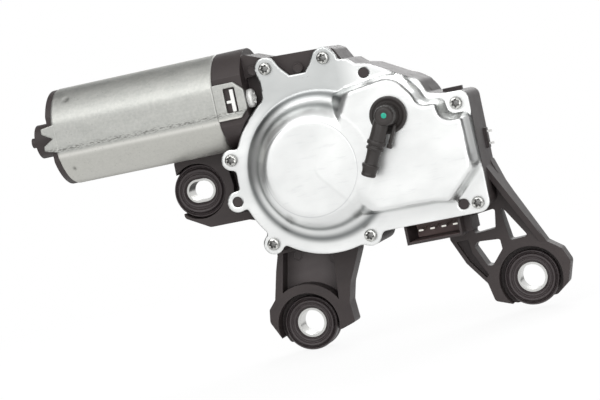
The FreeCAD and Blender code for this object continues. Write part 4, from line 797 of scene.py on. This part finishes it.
# %% [markdown]
# ## The drawn can
# The can is drawn from sheet: a round tube with two flats, whose long creases have a soft radius.
# Its radius at each angle is the smooth minimum of the round part's and the flats'. Two stake
# marks near the closed end are small bell-shaped dents. Its latch tab, the bar behind the tab's
# window and the forked tongue are flat sheet, cut out by distance in the same way as the cover.

# %% The drawn can
CAN_RADIUS, CAN_FLAT = 21.3, 20.2
CAN_END, CAN_MOUTH, CAN_WALL, CAN_EDGE = -150.0, -75.0, 1.5, 0.35
CAN_FRONT = MOTOR_DEPTH + CAN_FLAT
CAN_RINGS, CAN_SIDES = 74, 240
STAKE_DEPTH, STAKE_WIDTH = 0.7, 0.9


def can_ring(a, radius, flat, soft=0.30):
    """Radius at angle a, where 0 is straight to the front: the smooth minimum of the circle and
    the two flats."""
    straight = flat / np.maximum(np.abs(np.cos(a)), 0.05)
    return -soft * np.logaddexp(-radius / soft, -straight / soft)


def can_shell():
    """Along the outside, round the mouth's edge, and back along the inside."""
    outside = [(CAN_END + 0.6, 0.0), (CAN_END + 1.2, 0.0)]
    outside += [(v, 0.0) for v in np.linspace(CAN_END + 2.0, CAN_MOUTH - 1.0, CAN_RINGS)]
    outside += [(CAN_MOUTH - CAN_EDGE, 0.0), (CAN_MOUTH, -CAN_EDGE)]
    inside = [(CAN_MOUTH, -CAN_WALL + CAN_EDGE), (CAN_MOUTH - CAN_EDGE, -CAN_WALL),
              (CAN_END + CAN_EDGE, -CAN_WALL), (CAN_END, -CAN_WALL + CAN_EDGE),
              (CAN_END, -CAN_EDGE)]
    line = np.array(outside + inside)
    a = np.linspace(-math.pi, math.pi, CAN_SIDES, endpoint=False)[None, :]
    x, drop = line[:, :1], line[:, 1:]
    radius = can_ring(a, CAN_RADIUS + drop, CAN_FLAT + drop)
    height = MOTOR_HEIGHT + radius * np.sin(a)
    outer = (drop > -0.1) & (np.cos(a) > 0)
    for stake_x, stake_z in STAKES:
        away = np.hypot(x - stake_x, height - stake_z)
        radius = radius - outer * STAKE_DEPTH * np.exp(-(away / STAKE_WIDTH) ** 2)
    return spots(x, MOTOR_DEPTH + radius * np.cos(a),
                 MOTOR_HEIGHT + radius * np.sin(a)), True, True


def plate(name, distance, low, high, front, thickness, finish, step=0.35, **more):
    """A flat cut-out sheet facing the front: a trimmed grid with a thickness."""
    x, z, faces = trimmed(distance, low, high, step)
    thickened(piece(name, spots(x, front, z), faces, finish, closed=False, **more), thickness)


def box_line(left, low, right, high, left_radius, right_radius):
    """An upright rectangle with rounded corners."""
    return rounded([(left, low, left_radius), (left, high, left_radius),
                    (right, high, right_radius), (right, low, right_radius)])


TAB_LINE = rounded([
    (-75.2, 27.1, 0), (-65.6, 27.1, 0.6), (-61.5, 23.2, 0.9), (-61.5, 14.9, 0.9),
    (-64.8, 11.5, 0.6), (-75.2, 11.5, 0)])
WINDOW_LINE = box_line(-70.5, 14.3, -65.3, 25.0, 0.5, 0.5)
TONGUE_LINE = rounded([
    (-149.0, 25.4, 0), (-149.0, 13.0, 0), (-155.3, 14.6, 0.6), (-155.3, 16.7, 0.6),
    (-150.5, 19.4, 0.4), (-155.3, 22.1, 0.6), (-155.3, 24.4, 0.6)])
LATCH_BAR = box_line(-67.8, 14.6, -66.2, 24.2, 0.3, 0.3)
LATCH_ARM = box_line(-69.8, 18.4, -67.0, 19.6, 0.2, 0)
TAB_DROP, TAB_THICKNESS = 0.03, CAN_WALL - 0.05  # a hair behind the can's front
LATCH_DROP, LATCH_THICKNESS, LATCH_STEP = 0.3, 0.9, 0.2

grids("drawn_can", [can_shell()], "drawn_zinc", slot="can_steel", replaces=["motor_can"],
      crease=50.0)
plate("can_latch_tab", lambda x, z: np.maximum(
    polygon_distance(x, z, TAB_LINE), -polygon_distance(x, z, WINDOW_LINE)),
      (-75.2, 10.0), (-60.5, 28.0), CAN_FRONT - TAB_DROP, TAB_THICKNESS, "drawn_zinc",
      slot="can_steel")
plate("latch_bar", lambda x, z: np.minimum(
    polygon_distance(x, z, LATCH_BAR), polygon_distance(x, z, LATCH_ARM)),
      (-70.4, 14.0), (-65.6, 24.8), CAN_FRONT - LATCH_DROP, LATCH_THICKNESS, "white_part",
      LATCH_STEP, replaces=["latch_block"])
plate("can_tongue", lambda x, z: polygon_distance(x, z, TONGUE_LINE), (-157.0, 11.0),
      (-149.0, 27.0), CAN_FRONT, CAN_WALL, "drawn_zinc", slot="can_steel")

# %% [markdown]
# ## Screw heads
# Each screw has a domed head with a six-lobed drive. On the face, the rings of points inside the
# drive follow its lobes, and those outside it fade into the round rim, so that the drive's wall
# is crisp with few faces.


# %% Screw heads
DRIVE, LOBE = 0.58, 0.16  # the drive's mean radius as a share of the head's, and its lobes
COVER_HEAD = (2.65, 2.0)  # radius and height
CAN_HEAD = (4.1, 2.7)
CAN_SCREW = (-61.9, 32.6, 18.7)  # x, depth, z
SHANK = [(-3.6, 0.0), (-3.6, 1.7), (0.0, 1.7)]  # place along the screw, radius
HEAD_TURN = 0.7  # radians from one cover screw to the next


def screw_head(radius, height, count=72):
    """Distance from the axis, height and angle of one head's points: the floor of the drive, its
    wall, the dome and the rim. The drive's radius is DRIVE radius (1 + LOBE cos 6a)."""
    a = angles(count)
    lobes = DRIVE * radius * (1 + LOBE * np.cos(6 * a))
    rows = [(0 * a, 0.50), (0.6 * lobes, 0.42), (0.93 * lobes, 0.35), (1.03 * lobes, 0.93)]
    rows += [(lobes * (1 - s) + radius * s, 0.97 - 0.30 * s ** 2.2)
             for s in (0.12, 0.3, 0.5, 0.7, 0.85, 0.95)]
    rows += [(radius + 0 * a, 0.52), (radius + 0 * a, 0.16), (radius - 0.12 + 0 * a, 0.0),
             (0 * a, 0.0)]
    out = np.concatenate([r for r, _ in rows])
    level = np.array([h for _, h in rows])[:, None] * height + 0 * out
    return out, level, a


def heads(places, head, base):
    """Heads whose tops face the front, each turned by another angle."""
    out, level, a = screw_head(*head)
    for number, (x, z) in enumerate(places):
        way = a + HEAD_TURN * number
        yield spots(x + out * np.cos(way), base + level, z + out * np.sin(way)), False, True


def along_x(reach, radius, a):
    """Points about the can screw's axis, which runs along X."""
    x, depth, z = CAN_SCREW
    return spots(x + reach, depth + radius * np.cos(a), z + radius * np.sin(a)), False, True


grids("cover_screw_heads", heads(SCREWS, COVER_HEAD, FLANGE), "zinc_screw", slot="screw_steel",
      replaces=["cover_screws"])
out, level, a = screw_head(*CAN_HEAD)
shank = np.array(SHANK)
grids("can_screw_head", [
    along_x(level, out, a), along_x(shank[:, :1], shank[:, 1:], angles(48))],
      "bright_screw", slot="screw_steel", replaces=["can_screw"])

# %% [markdown]
# ## Rubber bushes
# A bush is a grommet that snaps into the eye of a leg. Its face has a rounded outer bead, a
# groove, and a raised ring that falls towards the sleeve. The profile runs from the sleeve's
# outline to the rim as a share, so the same profile serves the round sleeves and the slotted one.


# %% Rubber bushes
def slot_reach(a, half_run, radius):
    """Distance from a slot's centre to its edge at angle a: its round end, or its long side."""
    side = radius / np.maximum(np.abs(np.sin(a)), 1e-6)
    tip = half_run * np.abs(np.cos(a)) + np.sqrt(radius ** 2 - (half_run * np.sin(a)) ** 2)
    return np.where(np.abs(side * np.cos(a)) < half_run, side, tip)


BUSH_OUTER, SLEEVE_RADIUS = 11.98, 6.52
SLOT = (1.5, 5.22)  # half the slotted sleeve's straight run, and the radius of its ends
BUSH_PROFILE = [  # depth, share of the way from sleeve to rim
    (1.0, 0.0), (1.0, 0.80), (1.9, 0.99), (4.4, 0.99), (4.7, 0.96), (4.7, 0.42), (8.3, 0.42),
    (8.3, 0.96), (8.6, 0.99), (10.9, 1.0), (11.6, 0.94), (11.7, 0.86), (10.7, 0.80),
    (10.5, 0.74), (11.3, 0.69), (11.9, 0.62), (11.8, 0.50), (11.0, 0.40), (10.9, 0.34),
    (11.4, 0.28), (11.3, 0.16), (10.4, 0.04), (10.2, 0.0)]
EYES = {"left": (-98.6, -16.6), "bottom": (-61.3, -83.3), "right": (38.8, -81.2)}
line = soften(BUSH_PROFILE, closed=True)
a = angles(96)
for side, (eye_x, eye_z) in EYES.items():
    inner = slot_reach(a, *SLOT) if side == "left" else SLEEVE_RADIUS
    radius = inner + (BUSH_OUTER - inner) * line[:, 1:]
    points = spots(eye_x + radius * np.cos(a), line[:, :1], eye_z + radius * np.sin(a))
    grids("rubber_bush_" + side, [(points, True, True)], "bush_rubber", slot="soft_rubber",
          replaces=["bush_rubber_" + side], crease=60.0)

# %% [markdown]
# ## Ejector marks
# The pins that push the case out of its mould leave shallow rings: two in the pocket of the
# bottom leg and two on the case above the cover.

# %% Ejector marks
MARKS = [  # x, z, depth of the face, radius, height of the rim and of the floor
    (-61.9, -53.2, 7.2, 2.3, 0.35, 0.22), (-46.3, -57.2, 7.2, 2.3, 0.35, 0.22),
    (-57.6, 30.2, 33.0, 2.2, 0.28, 0.10), (-37.8, 27.2, 33.0, 2.2, 0.28, 0.10)]
RIM, RIM_FOOT = 0.35, 0.5  # how far the rim's top and its inner foot lie inside the radius
grids("ejector_marks", [
    turned(soften([(face, 0.0), (face, size), (face + rim, size), (face + rim, size - RIM),
                   (face + floor, size - RIM_FOOT), (face + floor, 0.0)], 1), x, z, 40)
    for x, z, face, size, rim, floor in MARKS], "case_plastic", slot="black_part")

# %% [markdown]
# ## Washer elbow
# The elbow clips onto the cover over the hollow shaft: a round foot, a hub with a rounded top,
# and a pipe with a stop collar and a hose barb. All are profiles carried round their own axes.
# Rounded bars make the thin clip arm beside the pipe, its catch, and a rib on the other side.
# The tester's dot of green paint sits on the hub.

# %% Washer elbow
ELBOW_SEAT = 48.5
PIPE_DEPTH = 54.9
PIPE_SHIFT = -1.0
PIPE_WAY = np.array([-0.4376, -0.8992])
PIPE_SIDE = np.array([0.8992, -0.4376])


def along_pipe(reach, across, depth):
    """Points at a distance along the pipe, across it, and at a depth."""
    return spots(reach * PIPE_WAY[0] + across * PIPE_SIDE[0], depth,
                 reach * PIPE_WAY[1] + across * PIPE_SIDE[1])


def pipe_grid(profile, count=56):
    """A profile of (reach, radius) carried round the pipe's axis."""
    line = np.asarray(profile, float)
    a = angles(count)
    return along_pipe(line[:, :1], line[:, 1:] * np.cos(a) + PIPE_SHIFT,
                      PIPE_DEPTH + line[:, 1:] * np.sin(a)), False, True


def rounded_bar(start, end, across, depth, half_width, half_depth, count=24):
    """A bar along the pipe whose section is |u|^4 + |v|^4 = 1, with rounded ends."""
    steps = np.array([0.0, 0.02, 0.06, 0.14, 0.5, 0.86, 0.94, 0.98, 1.0])[:, None]
    swell = (1 - np.abs(2 * steps - 1) ** 14) ** 0.5
    a = angles(count)
    c, s = np.cos(a), np.sin(a)
    u = np.sign(c) * np.abs(c) ** 0.5 * half_width * swell
    v = np.sign(s) * np.abs(s) ** 0.5 * half_depth * swell
    return along_pipe(start + (end - start) * steps, across + u, depth + v), False, True


foot = soften([(ELBOW_SEAT, 0), (ELBOW_SEAT, 7.95), (50.0, 7.95), (50.35, 7.5), (50.3, 6.6),
               (50.0, 6.2), (50.0, 0)])
hub = soften([(49.6, 0), (49.6, 5.4), (51.4, 4.7), (57.3, 4.4), (58.7, 3.6), (58.85, 2.4),
              (58.7, 1.5), (58.7, 0)])
pipe = soften([(0, 0), (0, 3.3), (10.8, 3.25), (11.0, 3.9), (12.5, 3.95), (12.7, 3.2),
               (13.5, 3.2), (13.7, 3.7), (14.7, 3.7), (14.9, 2.9), (20.8, 2.85), (21.0, 3.7),
               (21.9, 3.75), (23.2, 3.1), (25.0, 3.0), (25.3, 3.2), (26.2, 2.9), (26.3, 1.5),
               (24.2, 1.4), (24.2, 0)], 1)
BARS = [  # start and end along the pipe, place across it, depth, half width, half depth
    (2.5, 12.8, 4.2, 51.6, 0.75, 1.5), (11.0, 13.0, 4.3, 51.8, 1.1, 1.7),
    (3.0, 8.5, -4.0, 50.9, 0.5, 0.9)]
grids("hose_elbow", [turned(foot, 0, 0), turned(hub, 0, 0), pipe_grid(pipe)]
      + [rounded_bar(*bar) for bar in BARS],
      "elbow_plastic", slot="black_part", replaces=["washer_elbow"])
dot = soften([(58.55, 0), (58.6, 1.25), (58.8, 1.1), (58.9, 0.4), (58.9, 0)])
grids("green_dot", [turned(dot, 0.2, 0.3, 32)], "green_paint", slot="black_part")

# %% [markdown]
# ## Output shaft
# The shaft's outer end takes the wiper arm: a knurled cone and a thread. The radius is a function
# of the place along the shaft and the angle: ridges round the cone, and for the thread a
# triangle wave of the place plus the angle, which makes a helix.

# %% Output shaft
KNURLS, KNURL_DEPTH = 36, 0.30
THREAD_PITCH, THREAD_DEPTH = 1.25, 0.62
CONE, THREAD = (31.5, 40.6), (41.2, 49.6)  # where knurls and thread start and end
SHAFT_BORE = 1.9


def shaft_grid():
    """Radius by place along the shaft, with knurls on the cone and a helix on the thread."""
    y = np.concatenate([[-38.0, -38.0, -37.6], np.linspace(-37.0, 30.0, 12),
                        np.linspace(30.6, 41.0, 27), np.linspace(41.05, 49.6, 96), [50.0, 50.0]])
    size = np.interp(y, [-38.0, -37.6, 30.9, 31.0, 41.0, 41.1, 49.4, 50.0],
                     [4.7, 5.0, 5.0, 5.0, 4.2, 3.5, 3.5, 3.1])
    size[0] = size[-1] = SHAFT_BORE
    a = angles(144)
    y, size = y[:, None], size[:, None]
    on_cone, on_thread = (np.clip((y - start) * 2, 0, 1) * np.clip((end - y) * 2, 0, 1)
                          for start, end in (CONE, THREAD))
    knurl = KNURL_DEPTH * (np.abs(np.sin(KNURLS / 2 * a)) - 1)
    wave = np.abs(((y / THREAD_PITCH - a / (2 * math.pi)) % 1.0) - 0.5) * 2
    radius = size + on_cone * knurl - on_thread * THREAD_DEPTH * wave
    return spots(radius * np.cos(a), -y, radius * np.sin(a)), False, True


bore_line = [(-50.0, SHAFT_BORE), (38.0, SHAFT_BORE)]
grids("wiper_shaft", [shaft_grid(), turned(bore_line, 0, 0, 144)], "bright_steel", body="output",
      slot="bright_steel", replaces=["output_shaft"])

# %% [markdown]
# ## Light
# A product photograph is lit by large soft lamps. The background is white because the world is
# white for camera rays, and for the reflections in the metal, while its light on the object is
# dimmer. Grey cards that only reflections see stand at the sides, as in a studio, so that the
# walls of the pressed forms read darker than their faces.


# %% Light
WORLD_LIGHT = 0.78
LAMP_AIM = Vector((-0.05, -0.02, -0.02))
FLOOR = solid_box[0][2]
CARD_LEVEL = FLOOR + 0.001
FLOOR_NEAR, FLOOR_GLOSSY = 0.88, 0.8  # the floor's white close by, and in reflections
FADE_START, FADE_SLOPE = 0.16, 3.0  # metres, and per metre, to full white


def world_light():
    """White for camera and reflected rays, and dimmer as a light on the object."""
    world = bpy.data.worlds.new("studio")
    bpy.context.scene.world = world
    world.use_nodes = True
    nodes, links = world.node_tree.nodes, world.node_tree.links
    mixed = nodes.new("ShaderNodeMixShader")
    grounds = nodes["Background"], nodes.new("ShaderNodeBackground")
    for number, (ground, strength) in enumerate(zip(grounds, (WORLD_LIGHT, 1.0)), 1):
        ground.inputs["Color"].default_value = (1.0, 1.0, 1.0, 1.0)
        ground.inputs["Strength"].default_value = strength
        links.new(ground.outputs[0], mixed.inputs[number])
    ray = nodes.new("ShaderNodeLightPath")
    share = ray.outputs["Is Camera Ray"]
    for name in ("Is Glossy Ray", "Is Transmission Ray"):
        either = nodes.new("ShaderNodeMath")
        either.operation = "MAXIMUM"
        links.new(share, either.inputs[0])
        links.new(ray.outputs[name], either.inputs[1])
        share = either.outputs[0]
    links.new(share, mixed.inputs["Fac"])
    links.new(mixed.outputs[0], nodes["World Output"].inputs["Surface"])


def soft_lamp(name, place, size, watts):
    """A square lamp that faces the object."""
    lamp = bpy.data.lights.new(name, "AREA")
    lamp.energy, lamp.size = watts, size
    thing = placed(name, lamp)
    thing.location = place
    thing.rotation_euler = (LAMP_AIM - Vector(place)).to_track_quat("-Z", "Y").to_euler()


def stage_plane(name, corners, finish):
    """A flat piece of the stage, which isn't part of the object."""
    mesh = bpy.data.meshes.new(name)
    mesh.from_pydata(corners, [], [(0, 1, 2, 3)])
    mesh.materials.append(Finish.made[finish])
    thing = placed(name, mesh)
    return thing


def card(name, corners, grey):
    """A grey card that only shows in reflections."""
    stock(name, (grey,) * 3, (grey,) * 3, 1.0)
    thing = stage_plane(name, corners, name)
    for way in ("camera", "diffuse", "shadow", "transmission"):
        setattr(thing, "visible_" + way, False)


world_light()
soft_lamp("key_lamp", (-0.35, -0.9, 0.75), 0.9, 5.5)
soft_lamp("fill_lamp", (0.45, -0.95, 0.1), 0.7, 3.0)
soft_lamp("back_lamp", (0.1, 0.8, 0.6), 0.6, 5.0)
for name, x, near, grey in (("left_card", -0.7, -0.7, 0.10), ("right_card", 0.75, -0.3, 0.03)):
    card(name, [(x, near, -0.6), (x, 0.7, -0.6), (x, 0.7, 0.9), (x, near, 0.9)], grey)
for name, near, height in (("top_card", 0.15, 0.65), ("low_card", 0.12, CARD_LEVEL)):
    card(name, [(-0.7, near, height), (0.75, near, height), (0.75, 0.7, height),
                (-0.7, 0.7, height)], 0.03)
pale = Finish("pale_floor")
pale.set(roughness=0.9, base_color=pale.mix(pale.noise(60.0, 2.0), (0.90, 0.90, 0.90),
                                            (0.93, 0.93, 0.93)))
away = pale.vector("LENGTH", {0: pale.place}, "Value")
far = ((away - FADE_START) * FADE_SLOPE).clipped()
seen = pale.node("ShaderNodeLightPath", take="Is Camera Ray")
mirrored = pale.node("ShaderNodeLightPath", take="Is Glossy Ray")
white_share = (seen * (FLOOR_NEAR + (1 - FLOOR_NEAR) * far)).do("MAXIMUM", mirrored * FLOOR_GLOSSY)
glow = pale.node("ShaderNodeEmission", None, {"Color": (1.0, 1.0, 1.0), "Strength": 1.0})
pale.feed(pale.nodes["Material Output"].inputs["Surface"], pale.node(
    "ShaderNodeMixShader", None,
    {0: white_share, 1: Value(pale, pale.shader.outputs[0]), 2: glow}))
stage_plane("floor", [(-3, -3, FLOOR), (3, -3, FLOOR), (3, 3, FLOOR), (-3, 3, FLOOR)],
            "pale_floor")
print("light ready")

# %% [markdown]
# ## Update the view layer

# %% Update the view layer
bpy.context.view_layer.update()
